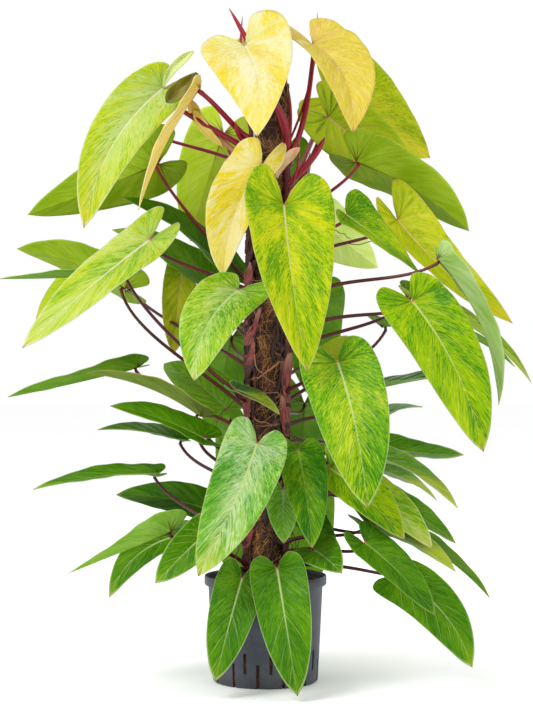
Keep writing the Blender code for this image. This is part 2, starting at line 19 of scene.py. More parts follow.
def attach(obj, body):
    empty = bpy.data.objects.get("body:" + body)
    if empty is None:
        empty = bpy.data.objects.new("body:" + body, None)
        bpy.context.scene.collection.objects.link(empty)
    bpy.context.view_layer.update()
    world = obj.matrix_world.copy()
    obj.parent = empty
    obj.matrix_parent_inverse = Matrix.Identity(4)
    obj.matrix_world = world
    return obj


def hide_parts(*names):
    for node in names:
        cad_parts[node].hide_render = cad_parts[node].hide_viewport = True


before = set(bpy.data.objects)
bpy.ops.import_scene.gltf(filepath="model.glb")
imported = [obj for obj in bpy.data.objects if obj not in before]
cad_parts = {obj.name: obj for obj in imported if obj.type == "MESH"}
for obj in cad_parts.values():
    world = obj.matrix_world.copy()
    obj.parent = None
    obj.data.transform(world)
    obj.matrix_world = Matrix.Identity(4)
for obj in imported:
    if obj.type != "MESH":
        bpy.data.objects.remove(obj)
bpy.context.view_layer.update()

print("nodes in the frame:", len(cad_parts))

# %% [markdown]
# The camera stands where the photographer stood: 3.4 m in front of the pot, at the height
# of the plant's middle. One pixel of the photograph is 1.8 mm at the pot, and that gives the
# focal length. The pot's axis is one pixel left of the picture's middle and the horizon lies
# a little above it, so the camera is moved and tilted by as much. The view transform is the
# plain one, which keeps lime and yellow as strong as they are on the plant.

# %% Camera
VIEWPOINT = Vector((0.0, -3.4, 0.62))
PHOTO_HEIGHT = 711
HORIZON_ROW = 336
METRES_A_PIXEL = 0.0018
FILM = 36.0

focal = -VIEWPOINT.y / METRES_A_PIXEL
camera_data = bpy.data.cameras.new("camera")
camera_data.lens = focal * FILM / PHOTO_HEIGHT
camera = bpy.data.objects.new("camera", camera_data)
camera.location = VIEWPOINT + Vector((METRES_A_PIXEL, 0, 0))
camera.rotation_euler = (pi / 2 - atan((PHOTO_HEIGHT / 2 - HORIZON_ROW) / focal), 0, 0)
bpy.context.scene.collection.objects.link(camera)
bpy.context.scene.camera = camera
bpy.context.scene.view_settings.view_transform = "Standard"
print("lens in mm:", round(camera_data.lens, 1))

# %% [markdown]
# A studio shot of a plant wants light from everywhere, with one soft side stronger than the
# other, so that the blades keep their shine and the pole stays dark behind them. The world
# gives the even light, and three large square lamps give the direction.

# %% Light
LAMP_TARGET = Vector((0, 0, 0.65))

world = bpy.data.worlds.new("studio")
world.use_nodes = True
world.node_tree.nodes["Background"].inputs["Color"].default_value = (1, 1, 1, 1)
world.node_tree.nodes["Background"].inputs["Strength"].default_value = 1.0
bpy.context.scene.world = world


def lamp(name, place, watts, size):
    """A square soft lamp that faces the middle of the plant."""
    data = bpy.data.lights.new(name, "AREA")
    data.energy = watts
    data.size = size
    made = bpy.data.objects.new(name, data)
    made.location = place
    made.rotation_euler = (LAMP_TARGET - Vector(place)).to_track_quat("-Z", "Y").to_euler()
    bpy.context.scene.collection.objects.link(made)
    print(name, "lamp:", watts, "W,", size, "m wide")


lamp("key", (-1.7, -2.5, 2.8), 88, 1.5)
lamp("fill", (2.4, -2.4, 1.3), 30, 2.0)
lamp("back", (0.8, 2.7, 1.9), 28, 2.2)

# %% [markdown]
# Shader maths reads best as plain expressions. A Value wraps one output of a node, and
# arithmetic on it adds Math nodes to the finish that it belongs to.

# %% Values


class Value:
    """One output of a shader node. Arithmetic on it adds Math nodes to its finish."""

    def __init__(self, finish, socket):
        self.finish = finish
        self.socket = socket

    def math(self, operation, first, second=0.0):
        return self.finish.node("ShaderNodeMath", {"operation": operation}, {0: first, 1: second})

    def __add__(self, other):
        return self.math("ADD", self, other)

    def __sub__(self, other):
        return self.math("SUBTRACT", self, other)

    def __rsub__(self, other):
        return self.math("SUBTRACT", other, self)

    def __mul__(self, other):
        return self.math("MULTIPLY", self, other)

    def __truediv__(self, other):
        return self.math("DIVIDE", self, other)

    def __abs__(self):
        return self.math("ABSOLUTE", self)

    __radd__ = __add__
    __rmul__ = __mul__

    def fraction(self):
        return self.math("FRACT", self)

    def larger(self, other):
        return self.math("MAXIMUM", self, other)

    def rise(self, low, high):
        """0 below low, 1 above high, and a smooth step between them."""
        return self.finish.node("ShaderNodeMapRange", {"interpolation_type": "SMOOTHSTEP"},
                                {"Value": self, "From Min": low, "From Max": high})


# %% [markdown]
# Colours are chosen as the photograph shows them, but a material wants the colour of the
# paint itself. paint() takes the screen's curve off and divides by what the lamps add. A part
# above 255 is a paler paint, for a piece that stands in the shade of others.

# %% Paint
LAMP_GAIN = 1.7


def paint(red, green, blue):
    """The paint that the studio light shows as that screen colour, each part 0 to 255."""
    def linear(part):
        part /= 255
        return part / 12.92 if part <= 0.04045 else ((part + 0.055) / 1.055) ** 2.4
    return (linear(red) / LAMP_GAIN, linear(green) / LAMP_GAIN, linear(blue) / LAMP_GAIN, 1.0)


print("white on the screen is paint of", round(paint(255, 255, 255)[0], 2))

# %% [markdown]
# A Finish is a material being made. One method adds any node, its settings first and then
# its sockets. The others use it to read a place on the piece, to mix two colours and to make
# noise. done() feeds what varies, and a bump, into the shader.

# %% Finishes


class Finish:
    """A material under construction."""

    def __init__(self, name, **constants):
        self.material = bpy.data.materials.new(name)
        self.material.use_nodes = True
        self.tree = self.material.node_tree
        self.shader = self.tree.nodes["Principled BSDF"]
        self.feed_shader(constants)

    def feed(self, socket, value):
        if isinstance(value, Value):
            self.tree.links.new(value.socket, socket)
        else:
            socket.default_value = value

    def feed_shader(self, values):
        """Feed the shader's sockets, whose names are given with _ for each space."""
        for socket, value in values.items():
            self.feed(self.shader.inputs[socket.replace("_", " ")], value)

    def node(self, kind, settings=None, sockets=None, output=0):
        """Add a node, set it up, fill its sockets, and give back one output."""
        made = self.tree.nodes.new(kind)
        for key, value in (settings or {}).items():
            setattr(made, key, value)
        for key, value in (sockets or {}).items():
            self.feed(made.inputs[key], value)
        return Value(self, made.outputs[output])

    def split(self, vector):
        """The three numbers of a vector."""
        parts = self.node("ShaderNodeSeparateXYZ", {}, {0: vector}).socket.node
        return [Value(self, socket) for socket in parts.outputs]

    def object_place(self):
        """x, y and z on the piece, in metres."""
        return self.split(self.node("ShaderNodeTexCoord", output="Object"))

    def own_map(self, name):
        """u and v of the piece's own UV map."""
        return self.split(self.node("ShaderNodeUVMap", {"uv_map": name}))[:2]

    def own_number(self, name):
        """A number that each vertex of the piece carries."""
        return self.node("ShaderNodeAttribute", {"attribute_name": name}, output="Fac")

    def mix(self, share, first, second):
        """A colour between two, by share. A tuple is a colour as the screen shows it."""
        first, second = (paint(*one) if isinstance(one, tuple) else one for one in (first, second))
        return self.node("ShaderNodeMix", {"data_type": "RGBA"}, {0: share, 6: first, 7: second}, 2)

    def noise(self, x, y, z, detail=2.0, rough=0.5, bend=0.0):
        """Smooth noise from 0 to 1 at a place whose unit is one blotch."""
        place = self.node("ShaderNodeCombineXYZ", {}, {0: x, 1: y, 2: z})
        return self.node("ShaderNodeTexNoise", {}, {"Vector": place, "Scale": 1.0, "Detail": detail,
                                                    "Roughness": rough, "Distortion": bend})

    def done(self, height=None, distance=0.001, strength=0.5, **changing):
        """Feed what varies over the surface, and the bump, into the shader."""
        self.feed_shader(changing)
        if height is not None:
            self.feed_shader({"Normal": self.node("ShaderNodeBump", {}, {
                "Height": height, "Distance": distance, "Strength": strength})})
        return self.material


# %% [markdown]
# Every piece is shaped in a bmesh and then becomes an object that stands for one or more of
# the imported nodes. One helper does the last steps the same way for all: normals, material,
# the body it rides on and the nodes it stands for. A second helper turns a sheet into a thin
# wall, and two small ones give the square grid that most pieces start from and the noise that
# makes them uneven.

# %% Pieces


def add_grid(shape, columns, rows):
    """Add a square grid from -1 to 1, its UV map from 0 to 1, and give back its vertices."""
    return bmesh.ops.create_grid(shape, x_segments=columns, y_segments=rows, size=1.0,
                                 calc_uvs=True)["verts"]


def lump(x, y, z):
    """Smooth noise between -1 and 1 for the shape of a piece."""
    return noise.noise(Vector((x, y, z)))


def add_piece(name, shape, finishes, nodes, turn_out=True):
    """Make the bmesh an object that rides on the plant and stands for those nodes."""
    if turn_out:
        bmesh.ops.recalc_face_normals(shape, faces=shape.faces)
    mesh = bpy.data.meshes.new(name)
    shape.to_mesh(mesh)
    shape.free()
    for finish in finishes:
        mesh.materials.append(finish)
    mesh.shade_smooth()
    piece = bpy.data.objects.new(name, mesh)
    bpy.context.scene.collection.objects.link(piece)
    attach(piece, "root")
    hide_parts(*nodes)
    print(name, "faces:", len(mesh.polygons))
    return piece


def give_wall(piece, thickness, offset=-1.0):
    """Give a sheet a wall: inwards with an offset of -1, half to each side with 0."""
    wall = piece.modifiers.new("wall", "SOLIDIFY")
    wall.thickness = thickness
    wall.offset = offset
    return wall


# %% [markdown]
# The floor is a plain pale sheet, much wider than the plant, so it has no edge in view. It
# lies a hair below the pot's foot, so that the two faces don't flicker through each other.
# Its two whites are nearly as bright as a paint can be, and go in as they are.

# %% Floor
FLOOR_REACH = 14.0
FLOOR_DROP = 0.0003
FLOOR_DULL = Vector((0.97, 0.97, 0.97, 1))
FLOOR_BRIGHT = Vector((0.99, 0.99, 0.99, 1))

floor_shape = bmesh.new()
bmesh.ops.create_grid(floor_shape, x_segments=1, y_segments=1, size=FLOOR_REACH)
floor_mesh = bpy.data.meshes.new("floor")
floor_shape.to_mesh(floor_mesh)
floor_shape.free()
floor_mesh.transform(Matrix.Translation((0, 0, -FLOOR_DROP)))
floor = bpy.data.objects.new("floor", floor_mesh)
bpy.context.scene.collection.objects.link(floor)
floor_finish = Finish("floor_paper", Roughness=0.9)
floor_cloud = floor_finish.noise(*floor_finish.object_place())
floor_white = floor_finish.mix(floor_cloud, FLOOR_DULL, FLOOR_BRIGHT)
floor_mesh.materials.append(floor_finish.done(Base_Color=floor_white))
print("floor width in m:", round(floor.dimensions.x))

# %% [markdown]
# The places of leaves were measured in the front view. placed() turns such a place and a
# depth into a point of the plant: moving a leaf in depth keeps its place in the photograph.

# %% Places in the front view


def placed(x, y, z):
    """World point of a place that the front view shows at (x, z) and that has depth y."""
    nearness = (y - VIEWPOINT.y) / -VIEWPOINT.y
    return VIEWPOINT + (Vector((x, 0.0, z)) - VIEWPOINT) * nearness


print("seen at x 0.3 and 0.2 m nearer, x is", round(placed(0.3, -0.2, 0.62).x, 3))

# %% [markdown]
# The table has one row a leaf: the vine that it grows from, its height on the vine, the
# stalk's end and the drip tip. turn rolls the blade round its length and fold raises its
# halves, both in degrees. width, arch and bend are shares of the length: bend bows the blade
# sideways. lobe scales the lobes behind the stalk, skew slides one half towards the tip, and
# taper narrows the blade towards it. rise is how steeply the stalk leaves its vine. Where own
# is False, the blade is part of its vine's node.

# %% Leaf table
Leaf = namedtuple("Leaf", "name vine node base tip turn width arch fold lobe bend rise skew taper own",
                  defaults=(0, 0.5, 0.07, 16, 1.0, 0.0, 0.35, 0.0, 0.0, True))

LEAVES = (
    # Crown
    Leaf("crown_front", "fr", 0.955, (-0.037, -0.07, 1.142), (-0.015, -0.25, 0.978), 0, 0.7, 0.05, 12,
         bend=0.06, skew=-0.15, taper=0.5),
    Leaf("crown_right", "fr", 0.93, (0.084, 0.0, 1.145), (0.157, -0.12, 0.985), -28, 0.58, 0.1, 26,
         bend=0.09),
    Leaf("crown_back", "br", 0.95, (-0.01, 0.06, 1.13), (0.02, 0.21, 1.0), 180, 0.5),
    # Upper left
    Leaf("left_high", "fl", 0.95, (-0.183, -0.03, 1.066), (-0.327, -0.07, 0.814), 12, 0.4, 0.08, 24,
         0.7, -0.08),
    Leaf("left_strip", "fl", 0.97, (-0.118, -0.1, 1.065), (-0.228, -0.13, 0.847), 100, 0.24, 0.04, 25,
         0.4),
    Leaf("left_olive", "bl", 0.92, (-0.225, 0.12, 1.0), (-0.341, 0.12, 0.856), 150, 0.45, own=False),
    Leaf("left_under", "bl", 0.7, (-0.192, 0.05, 0.93), (-0.428, 0.04, 0.838), 158, 0.54, bend=-0.04,
         taper=0.35),
    Leaf("left_pale", "bl", 0.86, (-0.075, 0.16, 0.985), (-0.135, 0.19, 0.79), 170, 0.62),
    # Centre
    Leaf("centre_cream", "fl", 0.88, (-0.006, -0.09, 0.928), (-0.077, -0.13, 0.726), 30, 0.56, 0.07,
         28, bend=-0.04),
    Leaf("front_tall", "fr", 0.8, (0.033, -0.17, 0.856), (0.076, -0.25, 0.555), -20, 0.59, 0.07, 22,
         1.0, -0.04, skew=0.05, taper=0.3),
    Leaf("left_heart", "fl", 0.66, (-0.048, -0.15, 0.703), (-0.129, -0.22, 0.539), 10, 0.6, 0.07, 16,
         0.75, -0.1, skew=-0.05),
    Leaf("right_heart", "fr", 0.52, (0.13, -0.18, 0.573), (0.184, -0.26, 0.31), 0, 0.53, 0.07, 16,
         0.75, 0.03),
    Leaf("pale_front", "fl", 0.4, (-0.015, -0.18, 0.427), (-0.122, -0.26, 0.186), 5, 0.46, 0.07, 16,
         0.65, 0.03),
    Leaf("low_mottled", "fr", 0.36, (0.058, -0.1, 0.415), (0.084, -0.2, 0.237), -15, 0.45, lobe=0.5),
    Leaf("pole_small", "fl", 0.5, (-0.055, -0.06, 0.523), (0.026, -0.09, 0.478), -60, 0.45, own=False),
    # Upper right
    Leaf("right_top_back", "br", 0.88, (0.118, 0.24, 1.045), (0.296, 0.34, 0.94), -20, 0.9, 0.07, 25,
         1.5, taper=0.6),
    Leaf("right_top", "br", 0.85, (0.112, 0.11, 1.013), (0.287, 0.18, 0.856), -20, 0.5, lobe=1.2),
    Leaf("right_under", "br", 0.82, (0.163, 0.03, 0.933), (0.366, 0.05, 0.809), -135, 0.56),
    Leaf("right_lime", "br", 0.75, (0.237, 0.02, 0.829), (0.445, 0.0, 0.643), -35, 0.42, 0.04, 30, 1.0,
         -0.08, taper=0.35),
    Leaf("right_slim", "fr", 0.78, (0.145, -0.08, 0.838), (0.285, -0.07, 0.724), -60, 0.76, lobe=0.6,
         bend=-0.08, taper=0.9),
    Leaf("back_pale", "br", 0.74, (0.094, 0.12, 0.825), (0.202, 0.26, 0.742), 180, 0.55, own=False),
    Leaf("right_far", "fr", 0.66, (0.309, -0.13, 0.759), (0.42, -0.13, 0.496), -110, 0.34, 0.1, 20,
         0.5, rise=1.1),
    Leaf("right_big", "fr", 0.61, (0.264, -0.17, 0.683), (0.393, -0.22, 0.411), -8, 0.43, 0.07, 16,
         0.75, 0.05, 0.9),
    Leaf("right_edge", "fr", 0.59, (0.255, 0.0, 0.69), (0.478, 0.0, 0.537), -80, 0.34, 0.08, 25, 0.5),
    # Right
    Leaf("right_mid_back", "br", 0.49, (0.21, 0.05, 0.636), (0.449, 0.07, 0.564), -90, 0.4, 0.12,
         lobe=0.6),
    Leaf("right_band", "br", 0.45, (0.152, 0.06, 0.512), (0.386, 0.04, 0.553), -80, 0.36, 0.03, lobe=0.5),
    Leaf("right_blunt", "br", 0.42, (0.174, 0.17, 0.455), (0.283, 0.27, 0.492), -70, 0.45, own=False),
    Leaf("right_spear", "br", 0.4, (0.181, 0.07, 0.426), (0.357, 0.1, 0.406), -60, 0.42, 0.02, bend=-0.1),
    Leaf("right_hook", "fr", 0.39, (0.17, 0.0, 0.408), (0.346, -0.04, 0.31), -70, 0.45, 0.09),
    Leaf("right_small_back", "br", 0.36, (0.188, 0.12, 0.382), (0.309, 0.18, 0.323), -70, 0.45,
         own=False),
    Leaf("right_pale", "fr", 0.34, (0.116, -0.07, 0.382), (0.251, -0.15, 0.253), -30, 0.5),
    Leaf("right_yellow", "fr", 0.32, (0.152, -0.05, 0.361), (0.301, -0.1, 0.237), -40, 0.45, own=False),
    Leaf("right_low_back", "br", 0.33, (0.199, 0.04, 0.339), (0.343, 0.06, 0.246), -50, 0.38, 0.04),
    Leaf("right_long", "br", 0.27, (0.202, 0.0, 0.282), (0.404, -0.02, 0.148), -100, 0.45),
    Leaf("right_low", "fr", 0.25, (0.181, -0.07, 0.283), (0.343, -0.09, 0.195), -60, 0.45),
    Leaf("right_dark", "fr", 0.23, (0.179, -0.14, 0.247), (0.307, -0.21, 0.116), -30, 0.4),
    Leaf("right_foot", "fr", 0.205, (0.236, -0.08, 0.188), (0.373, -0.11, 0.022), 10, 0.46, 0.07, 16,
         0.4, 0.12),
    # On and over the pot
    Leaf("pot_left", "fl", 0.2, (-0.042, -0.15, 0.184), (-0.091, -0.2, -0.003), 5, 0.48, lobe=0.8),
    Leaf("pot_front", "fr", 0.21, (0.021, -0.17, 0.201), (0.058, -0.215, -0.03), 0, 0.46, lobe=0.6),
    Leaf("rim_round", "fr", 0.215, (0.087, -0.1, 0.233), (0.138, -0.22, 0.192), -20, 0.6, own=False),
    Leaf("rim_dark", "fr", 0.28, (0.058, -0.04, 0.316), (0.13, -0.09, 0.224), -10, 0.5, own=False),
    Leaf("low_dark", "fl", 0.33, (0.031, -0.09, 0.343), (0.033, -0.15, 0.246), 0, 0.6, own=False),
    # Lower left
    Leaf("low_left_long", "fl", 0.26, (-0.17, -0.15, 0.267), (-0.356, -0.17, 0.192), 110, 0.5, 0.0, 35,
         taper=0.8),
    Leaf("low_left_drip", "fl", 0.25, (-0.165, -0.03, 0.258), (-0.282, -0.09, 0.148), 20, 0.38,
         bend=-0.11),
    Leaf("low_left_near", "fl", 0.21, (-0.104, -0.16, 0.267), (-0.199, -0.21, 0.174), 10, 0.55),
    Leaf("low_left_back", "bl", 0.25, (-0.078, 0.1, 0.298), (-0.269, 0.14, 0.334), 42, 0.42, 0.07),
    Leaf("low_left_reach", "fl", 0.25, (-0.195, 0.02, 0.371), (-0.419, 0.0, 0.343), 70, 0.32, 0.04,
         lobe=0.4),
    Leaf("left_dark_slim", "bl", 0.33, (-0.149, 0.1, 0.431), (-0.302, 0.12, 0.451), 75, 0.5, 0.05,
         lobe=0.6),
    Leaf("left_dark_broad", "fl", 0.36, (-0.113, -0.08, 0.436), (-0.28, -0.1, 0.494), 60, 0.45, 0.05),
    Leaf("left_bronze", "fl", 0.38, (-0.118, -0.04, 0.476), (-0.325, -0.03, 0.553), 100, 0.45, lobe=0.6),
    Leaf("left_mid_reach", "bl", 0.43, (-0.23, 0.05, 0.564), (-0.464, 0.03, 0.51), 105, 0.38, -0.01,
         lobe=0.5),
    Leaf("left_mid_dark", "bl", 0.41, (-0.071, 0.1, 0.49), (-0.183, 0.21, 0.57), 30, 0.5),
    # Left
    Leaf("left_reach", "fl", 0.7, (-0.208, -0.06, 0.793), (-0.438, -0.12, 0.598), 25, 0.29, bend=0.015),
    Leaf("left_dark_top", "bl", 0.66, (-0.06, 0.07, 0.721), (-0.26, 0.06, 0.87), 70, 0.5),
    Leaf("left_dark_low", "bl", 0.62, (-0.095, 0.1, 0.705), (-0.276, 0.12, 0.811), 60, 0.5),
    Leaf("left_out", "bl", 0.47, (-0.253, 0.08, 0.705), (-0.447, 0.1, 0.777), 130, 0.5),
    Leaf("left_edge", "fl", 0.5, (-0.248, -0.02, 0.732), (-0.478, -0.02, 0.723), 95, 0.34, -0.01,
         lobe=0.6),
    Leaf("left_curl", "bl", 0.55, (-0.262, 0.21, 0.735), (-0.413, 0.22, 0.651), 60, 0.6, 0.12, own=False),
    Leaf("left_yellow", "bl", 0.6, (-0.15, 0.16, 0.739), (-0.165, 0.18, 0.588), 10, 0.4, own=False),
    Leaf("right_lime_small", "br", 0.54, (0.102, 0.1, 0.577), (0.154, 0.14, 0.618), 10, 0.6, own=False),
    # Back
    Leaf("back_high", "br", 0.72, (0.05, 0.17, 0.8), (0.08, 0.33, 0.6), 180, 0.5),
    Leaf("back_left", "bl", 0.56, (-0.06, 0.18, 0.62), (-0.1, 0.36, 0.44), 180, 0.5),
    Leaf("back_right", "br", 0.47, (0.07, 0.18, 0.5), (0.06, 0.36, 0.33), 180, 0.5),
    Leaf("back_low", "bl", 0.27, (-0.04, 0.16, 0.33), (-0.03, 0.3, 0.13), 180, 0.5),
    Leaf("back_top", "br", 0.9, (0.03, 0.2, 0.94), (0.02, 0.35, 0.77), 180, 0.5, own=False),
    Leaf("back_mid_left", "bl", 0.4, (-0.03, 0.17, 0.45), (-0.05, 0.33, 0.27), 180, 0.5, own=False),
    Leaf("back_mid_right", "br", 0.62, (0.09, 0.14, 0.68), (0.09, 0.3, 0.5), 170, 0.5, own=False),
    Leaf("back_low_right", "br", 0.31, (0.06, 0.15, 0.36), (0.09, 0.3, 0.17), 180, 0.5, own=False),
)
print("leaves:", len(LEAVES))

# %% [markdown]
# A look is the painting of one kind of blade. Each blade has a ground colour, lighter
# patches, and fine darker strokes that run along its side veins, as on the real leaf, whose
# two tissues grow side by side. The tips and the newest leaves turn yellow. A look has seven
# colours, then how strongly its patches, flecks, lights and painted sheen show, where along
# the blade the tip's colour starts, and the kind of its underside. The painted sheen is a
# painted highlight: the light colour laid over the middle of the blade and in soft clouds.

# %% Looks
Look = namedtuple("Look", "ground patch light fleck tip rib crease "
                  "patches flecks lights blush tip_from under",
                  defaults=(0.5, 0.9, 0.8, 0.15, 0.88, "green"))

CREAM = (255, 250, 214)
BUTTER = (252, 240, 132)
STRAW = (248, 230, 70)
GOLD = (246, 224, 16)
AMBER = (220, 190, 60)
PEACH = (240, 200, 130)
LEMON = (222, 222, 10)
LIME = (170, 200, 0)
GRASS = (118, 168, 0)
LEAF = (80, 144, 4)
DEEP = (58, 116, 4)
SHADE = (34, 84, 4)
MILK = (218, 238, 164)
MINT = (186, 218, 104)
SAGE = (150, 190, 84)
WINE = (92, 20, 28)
PINK = (200, 96, 90)

LOOKS = {
    "gold": Look((250, 232, 84), CREAM, CREAM, (236, 206, 14), GOLD, CREAM, MILK, 0.5, 0.7, 0.4, 0.55,
                 0.78, "gold"),
    "straw": Look((240, 220, 88), (222, 200, 50), BUTTER, (214, 180, 70), AMBER, PEACH, PEACH, 0.8, 0.8,
                  0.5, 0.2, 0.9, "gold"),
    "cream": Look(GOLD, CREAM, CREAM, (226, 202, 0), GOLD, CREAM, STRAW, 0.55, 0.7, 0.4, 0.15, 0.80,
                  "gold"),
    "pale_lemon": Look((212, 222, 34), (178, 212, 34), MILK, (150, 194, 8), GOLD, CREAM, MINT, 0.8, 0.9,
                       0.6, 0.7, 0.80, "lime"),
    "mint_lemon": Look((184, 216, 44), LEMON, MILK, (114, 176, 16), LEMON, CREAM, MINT, 0.5, 0.95, 0.7,
                       0.3, 0.9, "lime"),
    "gold_lime": Look((190, 208, 8), (212, 218, 20), (230, 228, 70), (132, 168, 0), GOLD, PEACH,
                      (140, 164, 10), 0.7, 0.75, 0.6, 0.2, 0.85, "lime"),
    "plain_lime": Look((188, 220, 16), (214, 228, 34), (218, 230, 80), (152, 194, 2), LEMON, PEACH,
                       (100, 130, 10), 0.7, 0.6, 0.4, 0.2, 0.95, "lime"),
    "lime": Look((164, 200, 0), LEMON, (232, 228, 40), (98, 154, 0), GOLD, (226, 220, 150),
                 (96, 146, 0), 0.6, 0.95, 0.75, 0.0, 0.88, "lime"),
    "lime_green": Look((132, 182, 0), LIME, (200, 218, 10), (66, 134, 0), LEMON, (214, 220, 130), DEEP,
                       0.5, 0.95, 0.8, 0.0, 0.85, "lime"),
    "soft_lime": Look((156, 204, 24), (200, 218, 20), MILK, (88, 162, 28), BUTTER, MILK, GRASS, 0.6,
                      0.9, 0.7, 0.45, 0.9, "lime"),
    "sunset": Look((122, 182, 14), (160, 198, 8), (214, 226, 60), (60, 136, 8), LIME, MILK, DEEP, 0.5,
                   0.95, 0.8, 0.2, 0.74, "lime"),
    # This look's whitish gloss is painted: its light colour with a strong painted sheen
    "milky_sheen": Look((112, 182, 40), (164, 208, 58), (228, 244, 204), (54, 136, 34), LEMON,
                  (214, 230, 140), SAGE, 0.65, 0.85, 0.6, 0.6, 0.84, "green"),
    "green": Look(LEAF, (100, 162, 0), (140, 190, 20), (46, 108, 0), LIME, MILK, DEEP, 0.5, 0.75, 0.5),
    "soft_green": Look((100, 164, 24), GRASS, MINT, LEAF, LEMON, MILK, DEEP, 0.5, 0.8, 0.6, 0.3, 0.72),
    "mottled": Look((76, 146, 6), (116, 172, 4), (186, 208, 20), (40, 104, 2), LEMON, SAGE, SHADE, 0.5,
                    0.9, 0.7, 0.0, 0.86),
    "deep": Look((72, 130, 6), (92, 148, 6), GRASS, (44, 98, 4), GRASS, SAGE, SHADE, 0.5, 0.8, 0.5),
    # The next two looks are paler copies of deep and green, for leaves deep in the shade of others:
    # painted light
    "deep_lit_for_shade": Look((124, 184, 8), (140, 196, 20), MINT, LEAF, LIME, SAGE, DEEP, 0.5, 0.8, 0.5),
    "green_lit_for_shade": Look((146, 226, 70), (160, 240, 70), MILK, GRASS, LIME, MILK, DEEP, 0.5, 0.8, 0.6),
    "two_tone": Look((62, 112, 56), (50, 96, 40), SAGE, SHADE, (236, 255, 60), MILK, SHADE, 0.4, 0.6,
                     0.4, 0.1, 0.54),
    "bronze": Look((86, 126, 10), GRASS, (150, 150, 30), (96, 84, 10), GRASS, PEACH, WINE, 0.6, 0.8,
                   0.5),
}
LEAF_LOOKS = {
    "gold": "crown_front crown_back",
    "straw": "crown_right",
    "cream": "centre_cream left_strip",
    "pale_lemon": "left_high",
    "mint_lemon": "left_reach right_yellow",
    "gold_lime": "right_top_back right_lime left_yellow",
    "plain_lime": "right_top left_olive left_pale right_under left_curl right_lime_small",
    "lime": "front_tall",
    "lime_green": "right_big right_pale right_slim right_edge",
    "soft_lime": "left_heart left_out",
    "sunset": "right_heart",
    "milky_sheen": "pale_front",
    "soft_green": "left_edge right_far right_low right_long back_pale right_hook right_small_back",
    "mottled": "low_mottled",
    "two_tone": "pole_small",
    "deep": "rim_dark left_dark_slim left_dark_broad left_dark_top right_dark low_left_back",
    "deep_lit_for_shade": "left_dark_low left_mid_dark",
    "green_lit_for_shade": "low_dark",
    "bronze": "left_bronze",
}
look_of = {leaf: look for look, names in LEAF_LOOKS.items() for leaf in names.split()}
print("leaves with a look of their own:", len(look_of))

# %% [markdown]
# The strokes must follow the side veins. Each blade is a grid whose rows are its side veins,
# so the grid's own UV map gives the vein (v) and the way out along it (u), and one number a
# vertex gives the half width there in metres. From these comes the distance to the nearest
# side vein. In the lobes the veins fan out from the stalk, so there it grows on the way out.

# %% Places on a blade
SIDE_VEINS = 12
LOBE_GAP = 0.16
BLADE_GAP = 0.05


def blade_place(skin, length):
    """v, metres out and along, the half width, and the nearest side vein: share and metres."""
    u, v = skin.own_map("blade")
    spread = skin.own_number("spread")
    out = (u - 0.5) * 2 * spread
    between = 1 - abs((v * SIDE_VEINS).fraction() * 2 - 1)
    gap = between * (abs(out) * LOBE_GAP).larger(v.rise(0.36, 0.44) * length * BLADE_GAP)
    return v, out, v * length, spread, between, gap


# %% [markdown]
# The upper face is painted in layers, as the real one grows: patches on the ground colour and
# a pale painted sheen, which is a painted highlight, then a yellow tip, dark and light strokes,
# and last the side veins, whose dark creases are partly painted shade, the thin pale margin,
# the midrib and the pink place where the stalk meets it. Noise that is stretched along the
# veins makes the strokes, and real distances draw the veins at their true width.

# %% Upper faces
ZONE = 0.055
PATCH_LONG = 0.030
PATCH_WIDE = 0.010
STROKE_LONG = 0.011
STROKE_WIDE = 0.0034
FINE_LONG = 0.0055
FINE_WIDE = 0.0018
RIB_HALF_WIDTH = 0.0034
BLADE_SHINE = 0.08


